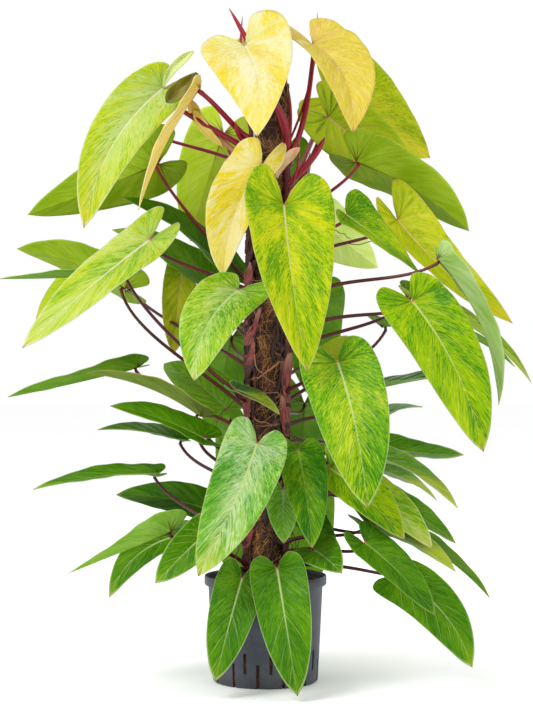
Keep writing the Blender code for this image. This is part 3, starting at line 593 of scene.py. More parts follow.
def leaf_top(name, look, length, seed):
    """The painted upper face of one blade."""
    skin = Finish(name + "_top", Specular_IOR_Level=BLADE_SHINE)
    v, out, along, spread, between, gap = blade_place(skin, length)
    middle = abs(out)
    zone = skin.noise(out / ZONE, along / ZONE, seed + 3, 3.0, 0.55)
    shape = skin.noise(out / PATCH_LONG, along / PATCH_WIDE, seed + 5, 3.0, 0.6, 0.8)
    broad = skin.noise(out / STROKE_LONG, along / STROKE_WIDE, seed, 4.0, 0.65, 1.2)
    fine = skin.noise(out / FINE_LONG, along / FINE_WIDE, seed + 7, 3.0, 0.65, 0.8)
    stroke = broad * 0.5 + fine * 0.5 + (zone - 0.5) * 0.45
    # Patches, painted sheen and tip
    patch = (zone * 0.5 + shape * 0.5).rise(0.44, 0.57)
    colour = skin.mix(patch * look.patches, look.ground, look.patch)
    # The pale middle and the sheen clouds are a painted highlight in the look's light colour
    sheen = skin.noise(out / ZONE, along / ZONE, seed + 11, 2.0)
    inner = 1 - (middle / spread + (zone - 0.5) * 0.6).rise(0.1, 0.8)
    colour = skin.mix((inner * 0.6 + sheen.rise(0.48, 0.68) * 0.6) * look.blush, colour, look.light)
    tip = (v + (zone - 0.5) * 0.35).rise(look.tip_from, look.tip_from + 0.2)
    colour = skin.mix(tip * 0.65, colour, look.tip)
    # Dark and light strokes
    colour = skin.mix((1 - stroke.rise(0.40, 0.50)) * look.flecks, colour, look.fleck)
    colour = skin.mix(stroke.rise(0.52, 0.63) * look.lights, colour, look.light)
    # Side veins: a crease beside each, dark in the lobes and pale in the blade. The dark crease colour
    # is partly the veins' own deeper green and partly painted shade in the sunken grooves
    lobe = 1 - v.rise(0.34, 0.50)
    fade = (1 - (middle / spread).rise(0.60, 1.0) * 0.8) * shape.rise(0.36, 0.60)
    beside = gap.rise(0.0004, 0.0010) * (1 - gap.rise(0.0014, 0.0036)) * fade
    colour = skin.mix(beside * 0.45, colour, look.crease)
    colour = skin.mix((1 - gap.rise(0.0003, 0.0017)) * lobe * fade * 0.85, colour, look.crease)
    colour = skin.mix((1 - gap.rise(0.0002, 0.0009)) * (1 - lobe) * fade * 0.40, colour, look.rib)
    # Margin, midrib and the places of the stalk and the drip tip
    margin = 1 - (spread - middle).rise(0.0003, 0.0014)
    colour = skin.mix(margin * 0.5, colour, look.rib)
    width = RIB_HALF_WIDTH * (1.0 - 0.75 * v)
    rib = (1 - (middle / width + (fine - 0.5) * 1.4).rise(0.2, 1.6)) * (1 - v.rise(0.55, 1.0) * 0.75)
    colour = skin.mix(rib * 0.9, colour, look.rib)
    junction = (1 - middle.rise(0.001, 0.006)) * (1 - v.rise(0.38, 0.44))
    colour = skin.mix((junction + v.rise(0.97, 0.99)) * 0.7, colour, PINK)
    height = between * 0.5 - rib * 0.6 + stroke * 0.2
    return skin.done(height, 0.0015, 0.6, Base_Color=colour, Roughness=0.36 + stroke * 0.14)


# %% [markdown]
# The underside is smoother and more matt, and its veins stand out dark near the stalk. One
# finish serves all blades of a kind, so it takes the length of a usual blade. The kinds
# differ in their ground colour, its paler streaks and the veins.

# %% Undersides
USUAL_LENGTH = 0.24
CLOUD = 0.035
STREAK_LONG = 0.020
STREAK_WIDE = 0.004

UNDERSIDES = {
    "gold": ((240, 222, 96), (250, 238, 150), (170, 100, 70)),
    "yellow": ((268, 232, 96), (280, 254, 160), (190, 60, 60)),
    # A paler lime for an underside deep in shade: painted light
    "lime_lit_for_shade": ((214, 250, 40), (236, 262, 90), WINE),
    "lime": ((188, 226, 30), (212, 238, 70), WINE),
    "olive": ((148, 186, 12), (176, 208, 50), WINE),
    "pale": ((250, 280, 130), (270, 290, 180), (120, 60, 60)),
    "soft": ((176, 220, 106), (208, 240, 156), (100, 60, 50)),
    "leafy": ((130, 184, 44), (160, 208, 84), (84, 40, 30)),
    "bronze": ((118, 146, 30), (150, 176, 64), (120, 30, 30)),
    "green": ((104, 164, 16), (134, 188, 34), (84, 40, 30)),
}


def leaf_under(kind):
    """The smooth underside that blades of one kind share, with dark veins from the stalk."""
    ground, light, vein = UNDERSIDES[kind]
    skin = Finish("underside_" + kind, Specular_IOR_Level=BLADE_SHINE)
    v, out, along, spread, between, gap = blade_place(skin, USUAL_LENGTH)
    middle = abs(out)
    cloud = skin.noise(out / CLOUD, along / CLOUD, 5.0, 3.0, 0.6)
    streak = skin.noise(out / STREAK_LONG, along / STREAK_WIDE, 9.0, 3.0, 0.6, 0.5)
    colour = skin.mix((cloud * 0.6 + streak * 0.4).rise(0.38, 0.62), ground, light)
    line = ((1 - gap.rise(0.0002, 0.0011)) * (1 - (middle / spread).rise(0.15, 0.80))
            * (1 - v.rise(0.34, 0.75) * 0.8))
    colour = skin.mix(line * 0.8, colour, vein)
    margin = 1 - (spread - middle).rise(0.0004, 0.0016)
    colour = skin.mix(margin * 0.5, colour, light)
    rib = 1 - (middle / (RIB_HALF_WIDTH * (1.0 - 0.8 * v))).rise(0.5, 1.0)
    colour = skin.mix(rib * (1 - v.rise(0.40, 0.85) * 0.9), colour, vein)
    return skin.done(line * 0.6 + rib, 0.0006, 0.4, Base_Color=colour, Roughness=0.45 + cloud * 0.1)


under_of = {kind: leaf_under(kind) for kind in UNDERSIDES}
print("kinds of underside:", len(under_of))

# %% [markdown]
# The outline of a blade is drawn by its side veins. Each leaves the midrib at one share of
# the length, ends at another and reaches out to a share of the half width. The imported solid
# has eight a side with straight edges between them. Here they are read smoothly, and a last
# one makes the drip tip.

# %% Veins
Vein = namedtuple("Vein", "start end across")
VEINS = (
    Vein(0.00, -0.08, 0.12),
    Vein(0.00, -0.19, 0.46),
    Vein(0.00, -0.13, 0.84),
    Vein(0.00, 0.05, 1.00),
    Vein(0.04, 0.26, 0.98),
    Vein(0.18, 0.47, 0.89),
    Vein(0.37, 0.68, 0.70),
    Vein(0.62, 0.88, 0.37),
    Vein(1.00, 1.00, 0.00),
)
LAST_VEIN = len(VEINS) - 1


def smooth(before, low, high, after, t):
    """A smooth curve through low and high, with its neighbours as guides."""
    bend = t * (2 * before - 5 * low + 4 * high - after + t * (3 * (low - high) + after - before))
    return low + 0.5 * t * (high - before + bend)


def vein_at(row):
    """The side vein at a fractional place in the list."""
    step = min(int(row), LAST_VEIN - 1)
    near = [VEINS[max(0, min(LAST_VEIN, step + offset))] for offset in (-1, 0, 1, 2)]
    return Vein(*(smooth(*values, row - step) for values in zip(*near)))


print("vein half-way:", [round(value, 2) for value in vein_at(LAST_VEIN / 2)])

# %% [markdown]
# A Blade turns a share of the length and a share of the half width into a point in space. It
# sets up the blade's own axes from the stalk's end, the tip and the roll, and adds the arch,
# the fold, the sideways bow and a slow wave along the edges.

# %% Blade surface
BLADE_WALL = 0.0012
EDGE_WAVE = 0.012
EDGE_WAVE_RATE = 9
EDGE_RIPPLE = 0.004
EDGE_RIPPLE_RATE = 31
LOBE_LIFT = 1.5


class Blade:
    """The curved surface of one leaf blade, in its own axes."""

    def __init__(self, leaf):
        self.leaf = leaf
        self.base = placed(*leaf.base)
        self.tip = placed(*leaf.tip)
        self.length = (self.tip - self.base).length
        self.along = (self.tip - self.base).normalized()
        to_viewer = (VIEWPOINT - self.base).normalized()
        facing = (to_viewer - self.along * to_viewer.dot(self.along)).normalized()
        self.normal = Matrix.Rotation(radians(leaf.turn), 3, self.along) @ facing
        self.side = self.normal.cross(self.along)

    def point(self, share, across):
        """Point at a share of the length and a share of the half width, signed by side."""
        leaf = self.leaf
        width = across * leaf.width / 2 * self.length * (1 - leaf.taper * max(share, 0.0))
        if share < 0:
            share *= leaf.lobe
        share += leaf.skew * across * (1 - share)
        bowed = self.length * 4 * share * (1 - share)
        lift = abs(width) * sin(radians(leaf.fold)) + leaf.arch * bowed
        if share < 0:
            lift -= leaf.arch * self.length * 4 * share * LOBE_LIFT
        phase = leaf.node * 40 + (2 if across > 0 else 0)
        wave = EDGE_WAVE * sin(EDGE_WAVE_RATE * share + phase)
        wave += EDGE_RIPPLE * sin(EDGE_RIPPLE_RATE * share + phase * 3)
        lift += wave * self.length * across * across
        sideways = width * cos(radians(leaf.fold)) + leaf.bend * bowed
        forward = share * self.length
        return self.base + self.along * forward + self.side * sideways + self.normal * lift

    def stalk_end(self):
        """Where the stalk meets the underside, and the direction in which it gets there."""
        slope = (self.point(0.03, 0.0) - self.base).normalized()
        up = self.normal - slope * self.normal.dot(slope)
        up.normalize()
        return self.point(0.02, 0.0) - up * BLADE_WALL / 2, up


print("longest blade in mm:", round(max(Blade(leaf).length for leaf in LEAVES) * 1000))

# %% [markdown]
# The blade's grid has its rows along the side veins, which bow towards the tip. Between them
# the skin is quilted, and a crease runs along the midrib. The rows of the lobes start
# together at the stalk, where their vertices are merged.

# %% Blade shapes
BLADE_ROWS = 60
BLADE_COLUMNS = 24
VEIN_BOW = 1.25
QUILT = 0.005
CREASE = 0.0012
CREASE_WIDTH = 0.0032
LEAST_HALF_WIDTH = 0.0005


def blade_shape(blade):
    """The finely veined surface as a bmesh, its faces towards the upper side."""
    shape = bmesh.new()
    shape.loops.layers.uv.new("blade")
    spread_layer = shape.verts.layers.float.new("spread")
    half_width = blade.leaf.width / 2 * blade.length
    rows = {round(step * 2 / BLADE_ROWS - 1, 4): vein_at(step * LAST_VEIN / BLADE_ROWS)
            for step in range(BLADE_ROWS + 1)}
    for vert in add_grid(shape, BLADE_COLUMNS, BLADE_ROWS):
        out, row = vert.co.x, (vert.co.y + 1) / 2
        vein = rows[round(vert.co.y, 4)]
        share = vein.start + (vein.end - vein.start) * abs(out) ** VEIN_BOW
        quilt = QUILT * blade.length * (0.5 - 0.5 * cos(2 * pi * row * SIDE_VEINS))
        quilt *= (1 - out * out) * min(1.0, 5 * abs(out)) * vein.across
        from_rib = out * vein.across * half_width / CREASE_WIDTH
        vert.co = blade.point(share, vein.across * out)
        vert.co += blade.normal * (quilt - CREASE * exp(-from_rib * from_rib) * (1 - row))
        vert[spread_layer] = max(vein.across * half_width, LEAST_HALF_WIDTH)
    bmesh.ops.remove_doubles(shape, verts=shape.verts, dist=0.00001)
    bmesh.ops.recalc_face_normals(shape, faces=shape.faces)
    if sum(face.normal.dot(blade.normal) * face.calc_area() for face in shape.faces) < 0:
        bmesh.ops.reverse_faces(shape, faces=shape.faces)
    return shape


# %% [markdown]
# Each blade gets its painted top and its plain underside. The wall modifier grows half of the
# wall to each side of the sheet and gives the lower skin the second material. Most blades
# stand for their own node, and the small or hidden ones for a part of their vine.

# %% Blades
VINE_NODES = {"fl": "vine_front_left", "fr": "vine_front_right",
              "bl": "vine_back_left", "br": "vine_back_right"}
OWN_UNDERSIDES = {"left_strip": "yellow", "left_pale": "lime_lit_for_shade", "left_out": "olive",
                  "left_under": "olive", "left_curl": "olive", "right_under": "olive",
                  "back_pale": "pale", "right_far": "soft", "low_left_long": "leafy",
                  "left_bronze": "bronze"}

for number, leaf in enumerate(LEAVES):
    blade = Blade(leaf)
    look = LOOKS[look_of.get(leaf.name, "green")]
    top = leaf_top(leaf.name, look, blade.length, number * 3.7)
    under = under_of[OWN_UNDERSIDES.get(leaf.name, look.under)]
    node, slot = "leaf_" + leaf.name, "leaf_yellow" if look.under == "gold" else "leaf_green"
    if not leaf.own:
        node, slot = VINE_NODES[leaf.vine], "vine_stem"
    piece = add_piece("blade_" + leaf.name, blade_shape(blade), [top, under], [node], False)
    give_wall(piece, BLADE_WALL, 0.0).material_offset = 1

# %% [markdown]
# Stems, stalks, spears, roots and fibres are all tubes along a line. A grid that is rolled
# round the line makes one quickly: its columns go round, its rows go along, and a last row
# of no size at each end closes it. The direction is carried along the line without twist.

# %% Tubes


def even_shares(count):
    """Shares of a length from 0 to 1, evenly spread."""
    return [step / (count - 1) for step in range(count)]


def curve_point(controls, t):
    """Point at a share of the smooth curve that the control points between its ends pull."""
    while len(controls) > 1:
        controls = [near.lerp(far, t) for near, far in zip(controls, controls[1:])]
    return controls[0]


def carried_axes(points):
    """Two directions across the line at each point, carried along it without twist."""
    ahead = (points[1] - points[0]).normalized()
    lift = Vector((0, 0, 1)) if abs(ahead.z) < 0.8 else Vector((1, 0, 0))
    axes = []
    for index in range(len(points)):
        ahead = points[min(index + 1, len(points) - 1)] - points[max(index - 1, 0)]
        ahead.normalize()
        lift = (lift - ahead * lift.dot(ahead)).normalized()
        axes.append((ahead.cross(lift), lift))
    return axes


def new_tubes():
    """An empty bmesh with the layers that a tube writes."""
    shape = bmesh.new()
    shape.loops.layers.uv.new("tube")
    shape.verts.layers.float.new("tone")
    return shape


def add_tube(shape, points, radii, sides, tone=0.0):
    """Roll a grid round the line and close its ends."""
    path = [points[0], *points, points[-1]]
    sizes = [0.0, *radii, 0.0]
    axes = carried_axes(points)
    axes = [axes[0], *axes, axes[-1]]
    last = len(path) - 1
    layer = shape.verts.layers.float["tone"]
    grid = add_grid(shape, sides, last)
    for vert in grid:
        angle = (vert.co.x + 1) * pi
        row = round((vert.co.y + 1) / 2 * last)
        across, lift = axes[row]
        vert.co = path[row] + (across * cos(angle) + lift * sin(angle)) * sizes[row]
        vert[layer] = tone
    bmesh.ops.remove_doubles(shape, verts=grid, dist=0.000002)


# %% [markdown]
# Stems and stalks share one kind of skin, glossy and streaked lengthwise. It is brown on the
# old growth below and red at the crown, where it is young, and fine dark specks roughen it.

# %% Stem and stalk finishes
CROWN_LOW = 0.70
CROWN_HIGH = 1.00


def stalk_skin(name, old, young, streaks, rough):
    """A glossy streaked skin that is dark on old growth and red at the crown."""
    skin = Finish(name, Coat_Weight=0.12, Coat_Roughness=0.2, Specular_IOR_Level=0.3)
    x, y, z = skin.object_place()
    u, v = skin.own_map("tube")
    streak = skin.noise(u * 9, v * 2, z * 6, 3.0)
    cloud = skin.noise(x * 60, y * 60, z * 25, 3.0)
    speck = skin.noise(x * 500, y * 500, z * 160, 2.0)
    age = (z + (cloud - 0.5) * 0.25).rise(CROWN_LOW, CROWN_HIGH)
    colour = skin.mix(age, old, young)
    colour = skin.mix(streak.rise(0.50, 0.75) * 0.5, colour, streaks)
    colour = skin.mix(speck.rise(0.55, 0.68) * 0.6, colour, (34, 8, 10))
    return skin.done(streak * 0.6 + speck * 0.4, 0.0006, 0.5, Base_Color=colour,
                     Roughness=rough + cloud * 0.15)


stalk_finish = stalk_skin("stalk_skin", (92, 24, 26), (172, 10, 46), (176, 70, 72), 0.28)
stem_finish = stalk_skin("stem_skin", (58, 26, 22), (112, 22, 32), (126, 66, 54), 0.42)
spear_finish = stalk_skin("spear_skin", (150, 20, 44), (176, 12, 46), (206, 80, 80), 0.30)
dry_finish = stalk_skin("dry_spear", (186, 110, 70), (216, 150, 96), (250, 206, 120), 0.5)
print("finishes:", [made.name for made in (stalk_finish, stem_finish, spear_finish, dry_finish)])

# %% [markdown]
# The pole leans a little, and each vine climbs it from one angle round it to another. These
# helpers give places round the pole, for all that grows or lies on it.

# %% Pole and vines
SOIL_TOP = 0.177
POLE_TOP = 1.072
POLE_RADIUS = 0.030
POLE_LEAN = 0.012
VINE_RADIUS = 0.0068
VINE_FROM_POLE = POLE_RADIUS + VINE_RADIUS + 0.0008

Vine = namedtuple("Vine", "angle_low angle_high top")
VINES = {
    "fl": Vine(205, 188, 1.000),
    "fr": Vine(335, 318, 0.985),
    "bl": Vine(120, 136, 0.960),
    "br": Vine(58, 44, 0.975),
}


def pole_share(z):
    """A height as a share of the pole's length above the soil."""
    return (z - SOIL_TOP) / (POLE_TOP - SOIL_TOP)


def round_pole(angle, out, z):
    """Point at an angle round the leaning pole, at a distance from its axis."""
    return Vector((POLE_LEAN * pole_share(z) + out * cos(angle), out * sin(angle), z))


def from_axis(point):
    """The level step from the leaning pole's axis to a point."""
    return Vector((point.x - POLE_LEAN * pole_share(point.z), point.y, 0.0))


def vine_angle(vine, z):
    """The angle round the pole at which a vine stands at a height."""
    return radians(vine.angle_low + (vine.angle_high - vine.angle_low) * max(pole_share(z), 0.0))


def vine_centre(vine, z):
    """Centre of a vine at a height, beside the leaning pole."""
    return round_pole(vine_angle(vine, z), VINE_FROM_POLE, z)


def add_to_vine(kind, key, shape, finish):
    """Add a piece that stands for a part of one vine."""
    return add_piece(kind + "_" + VINE_NODES[key], shape, [finish], [VINE_NODES[key]])


print("the pole's top leans by", POLE_LEAN, "m")

# %% [markdown]
# A stem has a ring every few centimetres, where a leaf once grew or still does, and is
# knobbly between them. It is a tube whose radius swells at the rings and follows noise.

# %% Stems
VINE_BOTTOM = 0.105
STEM_STEP = 0.006
STEM_SIDES = 20
RING_EVERY = 0.034
RING_WIDTH = 0.004

for key, vine in VINES.items():
    steps = round((vine.top - VINE_BOTTOM) / STEM_STEP)
    line, radii = [], []
    for step in range(steps + 1):
        z = VINE_BOTTOM + (vine.top - VINE_BOTTOM) * step / steps
        ring = exp(-((z % RING_EVERY - RING_EVERY / 2) / RING_WIDTH) ** 2)
        knobs = 0.08 * lump(z * 60, vine.top * 9, 0)
        line.append(vine_centre(vine, z))
        radii.append(VINE_RADIUS * (0.86 + 0.16 * ring + knobs) * min(1.0, 0.45 + (vine.top - z) * 12))
    stem = new_tubes()
    add_tube(stem, line, radii, STEM_SIDES)
    add_to_vine("stem", key, stem, stem_finish)

# %% [markdown]
# A stalk leaves its vine slanting up and out, bows over and meets the blade from below. It
# is thickest at the vine, where it clasps the stem, and swells a little under the blade. A
# curve with four control points gives the bow, and its last step goes straight up into the
# blade.

# %% Stalks
STALK_RADIUS = 0.0029
STALK_POINTS = 22
STALK_SIDES = 12
NECK_LENGTH = 0.006
CROWN_THICKER = 1.5


def stalk_points(leaf):
    """A leaf stalk's bow from inside its vine to its blade."""
    start = vine_centre(VINES[leaf.vine], leaf.node)
    end, up = Blade(leaf).stalk_end()
    reach = end - start
    out = from_axis(start).normalized()
    leave = (reach.normalized() * 0.6 + out * 0.5 + Vector((0, 0, leaf.rise))).normalized()
    arrive = (reach.normalized() * 0.7 + up * 0.5).normalized()
    last = end - up * NECK_LENGTH
    controls = (start, start + leave * reach.length * 0.35, last - arrive * reach.length * 0.3, last)
    return [curve_point(controls, t) for t in even_shares(STALK_POINTS)] + [end]


def stalk_radius(t, thick):
    """A stalk's radius at a share of its length: a clasping foot and a swollen neck."""
    foot = 0.9 * exp(-(t / 0.05) ** 2)
    neck = 0.18 * exp(-((t - 0.95) / 0.03) ** 2)
    return STALK_RADIUS * thick * (1.30 - 0.42 * t + foot + neck)


for key in VINES:
    stalks = new_tubes()
    for leaf in LEAVES:
        if leaf.vine == key:
            thick = CROWN_THICKER if leaf.base[2] > CROWN_HIGH else 1.0
            line = stalk_points(leaf)
            radii = [stalk_radius(t, thick) for t in even_shares(len(line))]
            add_tube(stalks, line, radii, STALK_SIDES)
    add_to_vine("stalks", key, stalks, stalk_finish)

# %% [markdown]
# New leaves come up rolled tight in a red sheath, like a spear. They are tubes that swell a
# little and then run out to a point. One of them is old and dry, and has its own finish.

# %% Spears
Spear = namedtuple("Spear", "vine node tip radius bow dry", defaults=(False,))
SPEARS = (
    Spear("fr", 0.965, (-0.066, -0.055, 1.210), 0.0048, 0.012),
    Spear("fl", 0.985, (-0.041, 0.00, 1.196), 0.0022, 0.010),
    Spear("fr", 0.960, (0.093, 0.05, 1.203), 0.0020, 0.020),
    Spear("fr", 0.890, (0.107, -0.04, 0.978), 0.0050, 0.010),
    Spear("fr", 0.870, (0.057, -0.07, 0.978), 0.0018, 0.012),
    Spear("fl", 0.955, (-0.053, -0.05, 1.005), 0.0032, 0.008),
    Spear("fl", 0.930, (-0.136, 0.02, 1.045), 0.0045, 0.014, True),
    Spear("br", 0.945, (0.030, 0.08, 1.100), 0.0035, 0.016),
)
SPEAR_POINTS = 17
SPEAR_SIDES = 12


def add_spear(shape, spear):
    """A tapering tube that bows out from its vine to its tip."""
    start, tip = vine_centre(VINES[spear.vine], spear.node), placed(*spear.tip)
    out = from_axis(start).normalized()
    shares = even_shares(SPEAR_POINTS)
    line = [start.lerp(tip, t) + out * spear.bow * 4 * t * (1 - t) for t in shares]
    radii = [spear.radius * (1 + 0.4 * t) * (1.02 - t ** 5) ** 0.8 for t in shares]
    add_tube(shape, line, radii, SPEAR_SIDES)


for key in VINES:
    spears = new_tubes()
    for spear in SPEARS:
        if spear.vine != key:
            continue
        if spear.dry:
            dry = new_tubes()
            add_spear(dry, spear)
            add_piece("dry_spear", dry, [dry_finish], [VINE_NODES[key]])
        else:
            add_spear(spears, spear)
    if spears.faces:
        add_to_vine("spears", key, spears, spear_finish)

# %% [markdown]
# The pole is a stake wrapped in a mat of coconut fibre. Its dark core is a grid rolled round
# the leaning axis, with a lumpy skin. The open edges at its two ends are drawn inwards to the
# bore, where the stake stands. Core and fibres have the same kind of finish: noise takes its
# colour from nearly black to tan, and so does the tone, a number that each fibre carries.

# %% Coir core
POLE_BOTTOM = 0.065
CORE_TOP = POLE_TOP - 0.002
CORE_RADIUS = 0.0285
BORE_RADIUS = 0.0113
CORE_SIDES = 72
CORE_ROWS = 150


def coir_skin(name, dark, tan, scale):
    """Matt fibre, darker in clouds and paler with its tone and lower down the pole."""
    skin = Finish(name)
    x, y, z = skin.object_place()
    strand = skin.noise(x * scale, y * scale, z * scale * 0.35, 4.0, 0.65, 0.8)
    cloud = skin.noise(x * 30, y * 30, z * 18, 3.0, 0.6)
    light = skin.own_number("tone") * 0.7 + strand * 0.5 + cloud * 1.4 - z * 0.3
    colour = skin.mix(light.rise(0.62, 1.75), dark, tan)
    return skin.done(strand, 0.0015, 0.8, Base_Color=colour, Roughness=0.8 + strand * 0.15)


core = bmesh.new()
core.verts.layers.float.new("tone")
for vert in add_grid(core, CORE_SIDES, CORE_ROWS):
    angle, z = vert.co.x * pi, POLE_BOTTOM + (CORE_TOP - POLE_BOTTOM) * (vert.co.y + 1) / 2
    place = Vector((cos(angle) * 5, sin(angle) * 5, z * 90))
    vert.co = round_pole(angle, CORE_RADIUS + 0.0012 * lump(*place) + 0.0006 * lump(*place * 3), z)
bmesh.ops.remove_doubles(core, verts=core.verts, dist=0.00001)
rims = bmesh.ops.extrude_edge_only(core, edges=[edge for edge in core.edges if edge.is_boundary])
for vert in [made for made in rims["geom"] if isinstance(made, bmesh.types.BMVert)]:
    vert.co += from_axis(vert.co).normalized() * BORE_RADIUS - from_axis(vert.co)
core_finish = coir_skin("coir_core", (44, 20, 12), (200, 126, 70), 220)
add_piece("coir_core", core, [core_finish], ["coir_pole"])

# %% [markdown]
# A few thousand short fibres bow off the core and give the ragged look. An operator takes
# longer the more a bmesh already holds, so the fibres are made in small tufts, and each full
# tuft is flushed into the whole mat. A fibre that the pole's end would cut flat is left out.

# %% Coir fibres
FIBRES = 4200
FIBRE_POINTS = 5
FIBRE_SIDES = 3
SHORTEST_STEP = 0.001
TUFT = 1500


def flush(part, whole):
    """Move a small bmesh into a large one."""
    between = bpy.data.meshes.new("between")
    part.to_mesh(between)
    part.free()
    whole.from_mesh(between)
    bpy.data.meshes.remove(between)


draw = Random(11)
mat, tuft = new_tubes(), new_tubes()
for fibre in range(FIBRES):
    if len(tuft.verts) > TUFT:
        flush(tuft, mat)
        tuft = new_tubes()
    angle, z = draw.uniform(0, 2 * pi), draw.uniform(SOIL_TOP - 0.01, POLE_TOP - 0.004)
    heading = draw.gauss(0, 1.1)
    length = draw.uniform(0.018, 0.060)
    bow = draw.uniform(0.0, 0.0032)
    line = []
    for t in even_shares(FIBRE_POINTS):
        height = min(z + length * t * cos(heading + t * 0.5), POLE_TOP)
        turn = angle + length * t * sin(heading + t * 0.5) / POLE_RADIUS
        line.append(round_pole(turn, CORE_RADIUS + bow * 4 * t * (1 - t), max(height, SOIL_TOP - 0.01)))
    if min((line[1] - line[0]).length, (line[-1] - line[-2]).length) > SHORTEST_STEP:
        radii = [draw.uniform(0.0003, 0.0007)] * FIBRE_POINTS
        add_tube(tuft, line, radii, FIBRE_SIDES, draw.random() ** 1.3)
flush(tuft, mat)
fibre_finish = coir_skin("coir_fibre", (70, 34, 20), (262, 186, 110), 300)
add_piece("coir_fibres", mat, [fibre_finish], ["coir_pole"])

# %% [markdown]
# The vines cling to the pole with thin roots that cross it in all directions. A few thicker
# ones, the runners, go down beside their vine. Both are tubes that wander with noise: a root
# starts at its vine, rises off the pole on its way and ends on it again.

# %% Roots
ROOTS = 260
ROOT_POINTS = 12
ROOT_SIDES = 6
RUNNERS = 10
RUNNER_POINTS = 26
RUNNER_SIDES = 8


def root_skin():
    """Rough bark from dark brown to tan, by the tone of each root."""
    skin = Finish("root_skin")
    x, y, z = skin.object_place()
    bark = skin.noise(x * 400, y * 400, z * 400, 3.0, 0.6)
    light = skin.own_number("tone") + bark * 0.5 - 0.25
    colour = skin.mix(light.rise(0.1, 1.0), (40, 16, 14), (214, 146, 106))
    return skin.done(bark, 0.0006, 0.7, Base_Color=colour, Roughness=0.6 + bark * 0.2)


def add_root(shape, draw, vine, number):
    """A thin root that crosses the pole from its vine."""
    z = draw.uniform(0.20, vine.top - 0.04)
    turn = draw.choice((-1, 1)) * draw.uniform(0.5, 2.4)
    drop = draw.uniform(-0.10, 0.03)
    off = draw.uniform(0.0008, 0.0060) + 0.012 * draw.random() ** 3
    line = []
    for t in even_shares(ROOT_POINTS):
        out = POLE_RADIUS + off * sin(pi * t) + 0.0012 * lump(t * 7, number, z * 9)
        sway = 0.24 * lump(t * 5, number * 3.1, z)
        angle = vine_angle(vine, z) + turn * t + sway
        line.append(round_pole(angle, out, max(z + drop * t + 0.02 * sway, SOIL_TOP)))
    thick = draw.uniform(0.0006, 0.0018)
    radii = [thick * (1.1 - 0.8 * step / ROOT_POINTS) for step in range(ROOT_POINTS)]
    add_tube(shape, line, radii, ROOT_SIDES, draw.random() ** 1.5)


def add_runner(shape, draw, vine, number):
    """A thick dark root that runs down the pole."""
    top = draw.uniform(0.42, vine.top - 0.05)
    bottom = max(top - draw.uniform(0.14, 0.32), SOIL_TOP)
    turn = draw.uniform(-1.3, 1.3)
    line = []
    for t in even_shares(RUNNER_POINTS):
        sway = 0.35 * lump(t * 5, number * 2.3, top * 9)
        out = POLE_RADIUS + 0.0022 + 0.0016 * lump(t * 9, number, top)
        angle = vine_angle(vine, top) + turn * t + sway * min(1, 6 * t)
        line.append(round_pole(angle, out, top + (bottom - top) * t))
    thick = draw.uniform(0.0016, 0.0034)
    radii = [thick * (1 + 0.3 * lump(step * 0.9, number, 3)) for step in range(RUNNER_POINTS)]
    add_tube(shape, line, radii, RUNNER_SIDES, draw.random() * 0.35)


root_finish = root_skin()
draw = Random(23)
for key, vine in VINES.items():
    roots = new_tubes()
    for number in range(ROOTS // len(VINES)):
        add_root(roots, draw, vine, number)
    for number in range(RUNNERS):
        add_runner(roots, draw, vine, number)
    add_to_vine("roots", key, roots, root_finish)

# %% [markdown]
# Where a leaf has opened, its old sheath dries and tears, and strips of it stay on the stem.
# Each row of the table is one of the larger strips: its vine, the height of its foot, how far
# round the pole its tip lies (in radians), the tip's height, its width, and how far its end
# stands off. Many small dark scales lie between them, strewn by a seeded draw. Both are small
# grids that noise tears at the edges. They start over the vine and come down to the pole.

# %% Dry sheaths
Sheath = namedtuple("Sheath", "vine foot turn tip width stand")
SHEATHS = (
    Sheath("fl", 0.602, 0.85, 0.668, 0.016, 0.007),
    Sheath("fl", 0.560, 0.55, 0.612, 0.015, 0.009),
    Sheath("fr", 0.500, -0.15, 0.590, 0.018, 0.008),
    Sheath("fr", 0.440, -0.35, 0.515, 0.014, 0.005),
    Sheath("fl", 0.700, 0.35, 0.752, 0.013, 0.010),
    Sheath("fr", 0.640, -0.50, 0.700, 0.014, 0.006),
    Sheath("fl", 0.470, 0.25, 0.530, 0.014, 0.008),
    Sheath("fl", 0.400, 0.40, 0.455, 0.012, 0.006),
    Sheath("fr", 0.300, -0.40, 0.360, 0.013, 0.006),
    Sheath("fl", 0.240, 0.50, 0.300, 0.014, 0.006),
    Sheath("fr", 0.720, -0.30, 0.790, 0.013, 0.006),
    Sheath("fl", 0.640, -0.30, 0.700, 0.013, 0.007),
    Sheath("fr", 0.560, 0.30, 0.620, 0.012, 0.008),
    Sheath("bl", 0.500, -0.40, 0.570, 0.013, 0.007),
    Sheath("bl", 0.720, -0.40, 0.790, 0.013, 0.007),
    Sheath("bl", 0.320, 0.40, 0.380, 0.013, 0.007),
    Sheath("br", 0.560, 0.40, 0.630, 0.013, 0.007),
    Sheath("br", 0.780, 0.40, 0.850, 0.013, 0.007),
    Sheath("br", 0.380, -0.40, 0.440, 0.013, 0.007),
)
SHEATH_WALL = 0.0006
SHEATH_LIFT = 0.002
VINE_SPAN = 0.22
SCALES = 80


def sheath_skin(name, dark, light, tip):
    """Papery skin, streaked lengthwise, that fades to another colour at its tip."""
    skin = Finish(name)
    u, v = skin.own_map("tube")
    grain = skin.noise(u * 20, v * 3, 1.0, 4.0, 0.6)
    colour = skin.mix(grain.rise(0.40, 0.60), dark, light)
    colour = skin.mix(v.rise(0.6, 1.0) * 0.7, colour, tip)
    return skin.done(grain, 0.0008, 0.7, Base_Color=colour, Roughness=0.5 + grain * 0.2)


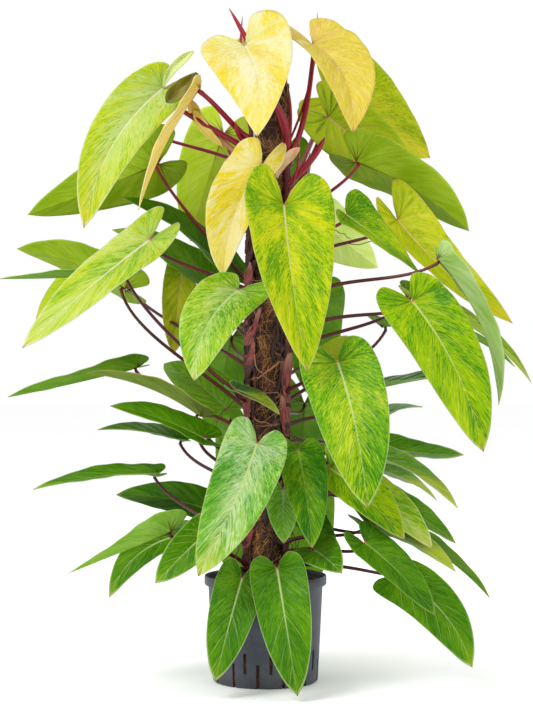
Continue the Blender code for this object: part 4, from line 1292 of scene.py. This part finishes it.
def add_sheath(papers, sheath, columns, rows, tear):
    """One torn strip of old sheath, from over its vine down to the pole beside it."""
    start = vine_angle(VINES[sheath.vine], sheath.foot)
    for vert in add_grid(papers, columns, rows):
        out, t = vert.co.x, (vert.co.y + 1) / 2
        ragged = lump(out * 2, t * 5, sheath.foot * 40)
        torn = ragged + lump(out * 3, t * 16, sheath.foot * 90)
        half = sheath.width / 2 * (1 - 0.8 * t ** 3) * (1 + tear * torn) / VINE_FROM_POLE
        angle = start + sheath.turn * t + out * half
        over_vine = 2 * VINE_RADIUS * exp(-((angle - start) / VINE_SPAN) ** 2)
        away = POLE_RADIUS + SHEATH_LIFT + over_vine + sheath.stand * t * t + 0.0025 * ragged
        height = sheath.foot + (sheath.tip - sheath.foot) * (t + 0.3 * tear * torn * t)
        vert.co = round_pole(angle, away, height)


sheath_finish = sheath_skin("dry_sheath", (84, 16, 22), (196, 92, 84), (214, 156, 128))
scale_finish = sheath_skin("dry_scale", (26, 10, 10), (112, 44, 38), (170, 104, 78))
draw = Random(37)
for key, vine in VINES.items():
    papers, scales = new_tubes(), new_tubes()
    for sheath in SHEATHS:
        if sheath.vine == key:
            add_sheath(papers, sheath, 6, 16, 0.35)
    for scale in range(SCALES):
        foot = draw.uniform(0.20, vine.top - 0.16)
        tip = foot + draw.uniform(0.015, 0.060)
        turn = draw.gauss(0, 0.8)
        width, stand = draw.uniform(0.005, 0.013), draw.gauss(0, 0.003)
        add_sheath(scales, Sheath(key, foot, turn, tip, width, stand), 4, 8, 0.6)
    give_wall(add_to_vine("sheaths", key, papers, sheath_finish), SHEATH_WALL)
    give_wall(add_to_vine("scales", key, scales, scale_finish), SHEATH_WALL)

# %% [markdown]
# Some papery pieces stand clear of the pole: the tan sheath of the newest stalk, the amber
# flaps of the old sheath on the left, and two curled ends beside the top left leaf. Each is
# a strip along a bow that three places pull, with a fold down its middle and ripples across.

# %% Papers
Paper = namedtuple("Paper", "name vine foot middle end width fold dark light tip")
PAPERS = (
    Paper("tan_sheath", "fr", (0.020, -0.055, 0.905), (0.028, -0.085, 0.937), (0.062, -0.100, 0.958),
          0.015, 25, (276, 216, 170), (300, 262, 220), (270, 200, 150)),
    Paper("amber_flap", "fl", (-0.110, 0.008, 0.995), (-0.126, 0.000, 1.010), (-0.134, -0.010, 1.045),
          0.020, 35, (260, 216, 60), (290, 262, 140), (236, 160, 80)),
    Paper("low_flap", "fl", (-0.075, 0.000, 0.962), (-0.112, -0.010, 0.985), (-0.128, -0.010, 1.028),
          0.016, 30, (260, 226, 84), (290, 266, 150), (250, 206, 60)),
    Paper("pale_curl", "fl", (-0.184, -0.036, 1.066), (-0.174, -0.060, 1.105), (-0.129, -0.070, 1.131),
          0.015, 30, (224, 246, 120), (250, 262, 190), (240, 250, 140)),
    Paper("olive_curl", "fl", (-0.121, -0.099, 1.092), (-0.146, -0.088, 1.074), (-0.178, -0.080, 1.040),
          0.030, 40, (112, 100, 14), (166, 156, 34), (130, 130, 20)),
)
PAPER_ROWS = 16
PAPER_COLUMNS = 8
RIPPLE = 0.06

for paper in PAPERS:
    controls = foot, middle, end = [placed(*place) for place in (paper.foot, paper.middle, paper.end)]
    fold = radians(paper.fold)
    strip = new_tubes()
    for vert in add_grid(strip, PAPER_COLUMNS, PAPER_ROWS):
        out, t = vert.co.x, (vert.co.y + 1) / 2
        centre = curve_point(controls, t)
        ahead = (middle - foot).lerp(end - middle, t)
        side = ahead.cross(VIEWPOINT - centre).normalized()
        near = side.cross(ahead).normalized()
        half = paper.width / 2 * (0.35 + 1.9 * t) * (1.02 - t ** 3) ** 0.7
        ripple = RIPPLE * paper.width * sin(14 * t + 3 * out)
        lift = abs(out) * half * sin(fold) + ripple
        vert.co = centre + side * (out * half * cos(fold)) + near * lift
    finish = sheath_skin(paper.name, paper.dark, paper.light, paper.tip)
    made = add_piece(paper.name, strip, [finish], [VINE_NODES[paper.vine]])
    give_wall(made, SHEATH_WALL)

# %% [markdown]
# A few wiry roots have let go of the pole: some hang from stem to stalk, and some stand round
# the pole's foot. Each row gives a root's vine, its height there, and the two places that it
# goes by and ends at.

# %% Wires
WIRES = (
    ("fr", 0.455, (0.070, -0.03, 0.428), (0.112, -0.03, 0.390)),
    ("fr", 0.445, (0.080, -0.05, 0.440), (0.122, -0.02, 0.384)),
    ("fr", 0.800, (0.150, -0.03, 0.768), (0.226, -0.02, 0.800)),
    ("br", 0.830, (0.120, 0.02, 0.825), (0.152, 0.03, 0.796)),
    ("fl", 0.640, (-0.120, -0.03, 0.640), (-0.100, -0.03, 0.560)),
    ("fl", 0.700, (-0.090, -0.02, 0.640), (-0.085, -0.03, 0.580)),
    ("bl", 0.520, (-0.100, 0.02, 0.500), (-0.080, 0.03, 0.430)),
    ("fr", 0.290, (0.060, -0.03, 0.262), (0.056, -0.04, 0.196)),
    ("fr", 0.275, (0.068, -0.04, 0.255), (0.066, -0.05, 0.205)),
    ("fr", 0.262, (0.050, -0.05, 0.240), (0.050, -0.06, 0.190)),
    ("fl", 0.270, (-0.050, -0.05, 0.240), (-0.060, -0.06, 0.190)),
)
WIRE_RADIUS = 0.0009
WIRE_POINTS = 24
WIRE_KINK = 0.010

for key in VINES:
    wires = new_tubes()
    for number, (vine, height, middle, end) in enumerate(WIRES):
        if vine != key:
            continue
        controls = (vine_centre(VINES[key], height), placed(*middle), placed(*end))
        line = []
        for t in even_shares(WIRE_POINTS):
            kink = WIRE_KINK * Vector([lump(t * 6, number * 3.3, axis * 7) for axis in range(3)])
            line.append(curve_point(controls, t) + kink * min(1, 5 * t))
        radii = [WIRE_RADIUS * (1.2 - 0.5 * step / WIRE_POINTS) for step in range(WIRE_POINTS)]
        add_tube(wires, line, radii, ROOT_SIDES, 0.3)
    if wires.faces:
        add_to_vine("wires", key, wires, root_finish)

# %% [markdown]
# The pot is thin moulded plastic, and its fill follows it inside. Both are turned bodies: a
# profile of radii and heights that is spun once round the upright axis and merged where it
# meets itself.

# %% Turned bodies


def turned_body(profile, steps, start=0.0):
    """Spin a profile of (radius, height) pairs round the axis, from a starting angle."""
    body = bmesh.new()
    first = Matrix.Rotation(start, 3, "Z")
    spots = [body.verts.new(first @ Vector((radius, 0, z))) for radius, z in profile]
    edges = [body.edges.new(pair) for pair in zip(spots, spots[1:])]
    bmesh.ops.spin(body, geom=spots + edges, axis=(0, 0, 1), cent=(0, 0, 0), angle=2 * pi,
                   steps=steps, use_merge=True)
    bmesh.ops.remove_doubles(body, verts=body.verts, dist=0.00001)
    return body


# %% [markdown]
# The pot's plastic has a fine grain and faint dust. The pot is spun in 104 steps, so that
# each of the 26 slots is one column of faces, which is taken out before the wall gets its
# thickness. The slots stand in two staggered rows, and the lower ones run on under the foot,
# as on the real pot.

# %% Pot
POT_HEIGHT = 0.190
RIM_RADIUS = 0.110
COLLAR_FOOT = 0.171
WALL_RADIUS_TOP = 0.103
WALL_RADIUS_FOOT = 0.0945
POT_WALL = 0.0028
FOOT_CHAMFER = 0.003
SLOTS = 26
SLOT_TOPS = (0.043, 0.062)
UPPER_SLOT_FOOT = 0.026
SLOT_INNER_END = 0.0865
FIRST_SLOT_ANGLE = radians(-98.1)
STEPS_A_SLOT = 4
POT_STEPS = SLOTS * STEPS_A_SLOT
WALL_LEVELS = (FOOT_CHAMFER, UPPER_SLOT_FOOT, *SLOT_TOPS, 0.10, 0.14, 0.168)
# The collar's profile: how far in from the rim's radius, and how far below the top
COLLAR = ((0.0058, 0.0188), (0.0012, 0.0165), (0.0, 0.0148), (0.0, 0.0085), (0.0, 0.0020),
          (0.0006, 0.0004), (0.0020, 0.0))


def wall_radius(z):
    """The tapered wall's outer radius at a height."""
    share = (z - FOOT_CHAMFER) / (COLLAR_FOOT - FOOT_CHAMFER)
    return WALL_RADIUS_FOOT + (WALL_RADIUS_TOP - WALL_RADIUS_FOOT) * share


def plastic():
    """Slate-grey plastic with a fine grain, and dust towards the foot."""
    skin = Finish("pot_plastic")
    x, y, z = skin.object_place()
    fine = skin.noise(x * 900, y * 900, z * 900, 2.0)
    dust = skin.noise(x * 25, y * 25, z * 40, 4.0, 0.6)
    foot = 1 - z.rise(0.0, 0.05)
    colour = skin.mix(dust.rise(0.35, 0.75) * 0.7, (60, 67, 82), (88, 95, 110))
    colour = skin.mix(foot * dust * 0.5, colour, (104, 94, 84))
    return skin.done(fine, 0.0003, 0.4, Base_Color=colour, Roughness=0.42 + dust * 0.2)


def in_slot(face):
    """Whether a face of the pot lies in one of its slots."""
    middle = face.calc_center_median()
    angle = middle.xy.angle_signed(Vector((1, 0)), 0.0)
    column = round((angle - FIRST_SLOT_ANGLE) / (2 * pi) * POT_STEPS) % POT_STEPS
    number, rest = divmod(column, STEPS_A_SLOT)
    lower = middle.z < SLOT_TOPS[0] and middle.xy.length > SLOT_INNER_END - 0.004
    upper = UPPER_SLOT_FOOT < middle.z < SLOT_TOPS[1]
    return rest == 0 and (upper if number % 2 else lower)


profile = [(0.0, 0.0), (SLOT_INNER_END, 0.0), (WALL_RADIUS_FOOT - FOOT_CHAMFER, 0.0)]
profile += [(wall_radius(z), z) for z in WALL_LEVELS]
profile += [(RIM_RADIUS - inwards, POT_HEIGHT - below) for inwards, below in COLLAR]
pot = turned_body(profile, POT_STEPS, FIRST_SLOT_ANGLE - pi / POT_STEPS)
bmesh.ops.recalc_face_normals(pot, faces=pot.faces)
if min(pot.faces, key=lambda face: face.calc_center_median().z).normal.z > 0:
    bmesh.ops.reverse_faces(pot, faces=pot.faces)
holes = [face for face in pot.faces if in_slot(face)]
print("slot faces cut:", len(holes))
bmesh.ops.delete(pot, geom=holes, context="FACES")
shell = add_piece("pot_shell", pot, [plastic()], ["culture_pot"], turn_out=False)
give_wall(shell, POT_WALL)
edge = shell.modifiers.new("edge", "BEVEL")
edge.width = 0.0005
edge.segments = 2
edge.limit_method = "ANGLE"
edge.angle_limit = radians(50)

# %% [markdown]
# The fill is coir and clay granules. A turned body fills the pot up to its soil line, with a
# hair of room beside the wall, and noise makes its top lumpy and draws its side in a little.

# %% Substrate
POT_FLOOR = 0.0035
SEAT = 0.0003
SOIL_EDGE_DROP = 0.004
FILL_RINGS = 16
FILL_STEPS = 96


def soil_skin(name, scale):
    """Matt brown crumbs of two hues, with pale bits of clay."""
    skin = Finish(name)
    x, y, z = skin.object_place()
    clod = skin.noise(x * scale, y * scale, z * scale, 4.0, 0.65)
    hue = skin.noise(x * scale * 0.5 + 9, y * scale * 0.5, z * scale * 0.5, 2.0)
    colour = skin.mix(hue.rise(0.35, 0.65), (58, 32, 20), (112, 66, 40))
    colour = skin.mix(clod.rise(0.6, 0.75) * 0.7, colour, (156, 104, 66))
    return skin.done(clod, 0.002, 0.9, Base_Color=colour, Roughness=0.85 + clod * 0.1)


fill_bottom = POT_FLOOR + SEAT
inner_foot = WALL_RADIUS_FOOT - POT_WALL - SEAT
inner_top = WALL_RADIUS_TOP - POT_WALL - SEAT
fill_top = inner_foot + (inner_top - inner_foot) * 0.9
fill_profile = [(0.0, fill_bottom), (inner_foot - 0.003, fill_bottom)]
fill_profile += [(inner_foot + (fill_top - inner_foot) * step / FILL_RINGS,
                  fill_bottom + (SOIL_TOP - SOIL_EDGE_DROP - POT_FLOOR) * step / FILL_RINGS)
                 for step in range(FILL_RINGS + 1)]
fill_profile += [(fill_top * (1 - ring / FILL_RINGS), SOIL_TOP) for ring in range(1, FILL_RINGS + 1)]
fill = turned_body(fill_profile, FILL_STEPS)
for vert in fill.verts:
    bump = lump(*vert.co * 160) * 0.0016
    if vert.co.z > SOIL_TOP - 0.003:
        vert.co.z += bump
    elif vert.co.xy.length > inner_foot - 0.001:
        vert.co.xy *= 1 - abs(bump) / inner_foot
add_piece("substrate_fill", fill, [soil_skin("substrate", 240)], ["substrate"])

# %% [markdown]
# Granules of all sizes are strewn evenly over the fill round the pole, and show at the rim.
# Each is a coarse ball, flattened and turned at random.

# %% Granules
GRANULES = 1100

draw = Random(5)
grains = bmesh.new()
for grain in range(GRANULES):
    angle, out = draw.uniform(0, 2 * pi), (fill_top - 0.006) * draw.uniform(0.12, 1.0) ** 0.5
    size = draw.uniform(0.0012, 0.0042)
    height = SOIL_TOP + size * draw.uniform(-0.3, 0.6)
    place = Matrix.Translation((out * cos(angle), out * sin(angle), height))
    spin = draw.uniform(0, pi)
    turned = Matrix.Rotation(spin, 4, Vector((draw.random(), draw.random(), 1)).normalized())
    flat = Matrix.Diagonal((1.0, draw.uniform(0.6, 1.0), draw.uniform(0.5, 0.9), 1))
    bmesh.ops.create_icosphere(grains, subdivisions=1, radius=size, matrix=place @ turned @ flat)
add_piece("substrate_grains", grains, [soil_skin("granules", 420)], ["substrate"])

# %% [markdown]
# The stake inside the pole is right as it stands. Only its top end shows, so it keeps its
# solid and gets a wood finish, with grain that runs up it.

# %% Stake
wood = Finish("stake_wood")
x, y, z = wood.object_place()
grain = wood.noise(x * 260, y * 260, z * 8, 4.0, 0.6)
stake_finish = wood.done(grain, 0.0006, 0.6, Roughness=0.7 + grain * 0.15, Base_Color=wood.mix(
    grain.rise(0.35, 0.65), (150, 112, 74), (196, 158, 112)))
stake_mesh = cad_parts["pole_stake"].data
stake_mesh.materials.clear()
stake_mesh.materials.append(stake_finish)
print("stake finish:", stake_finish.name)
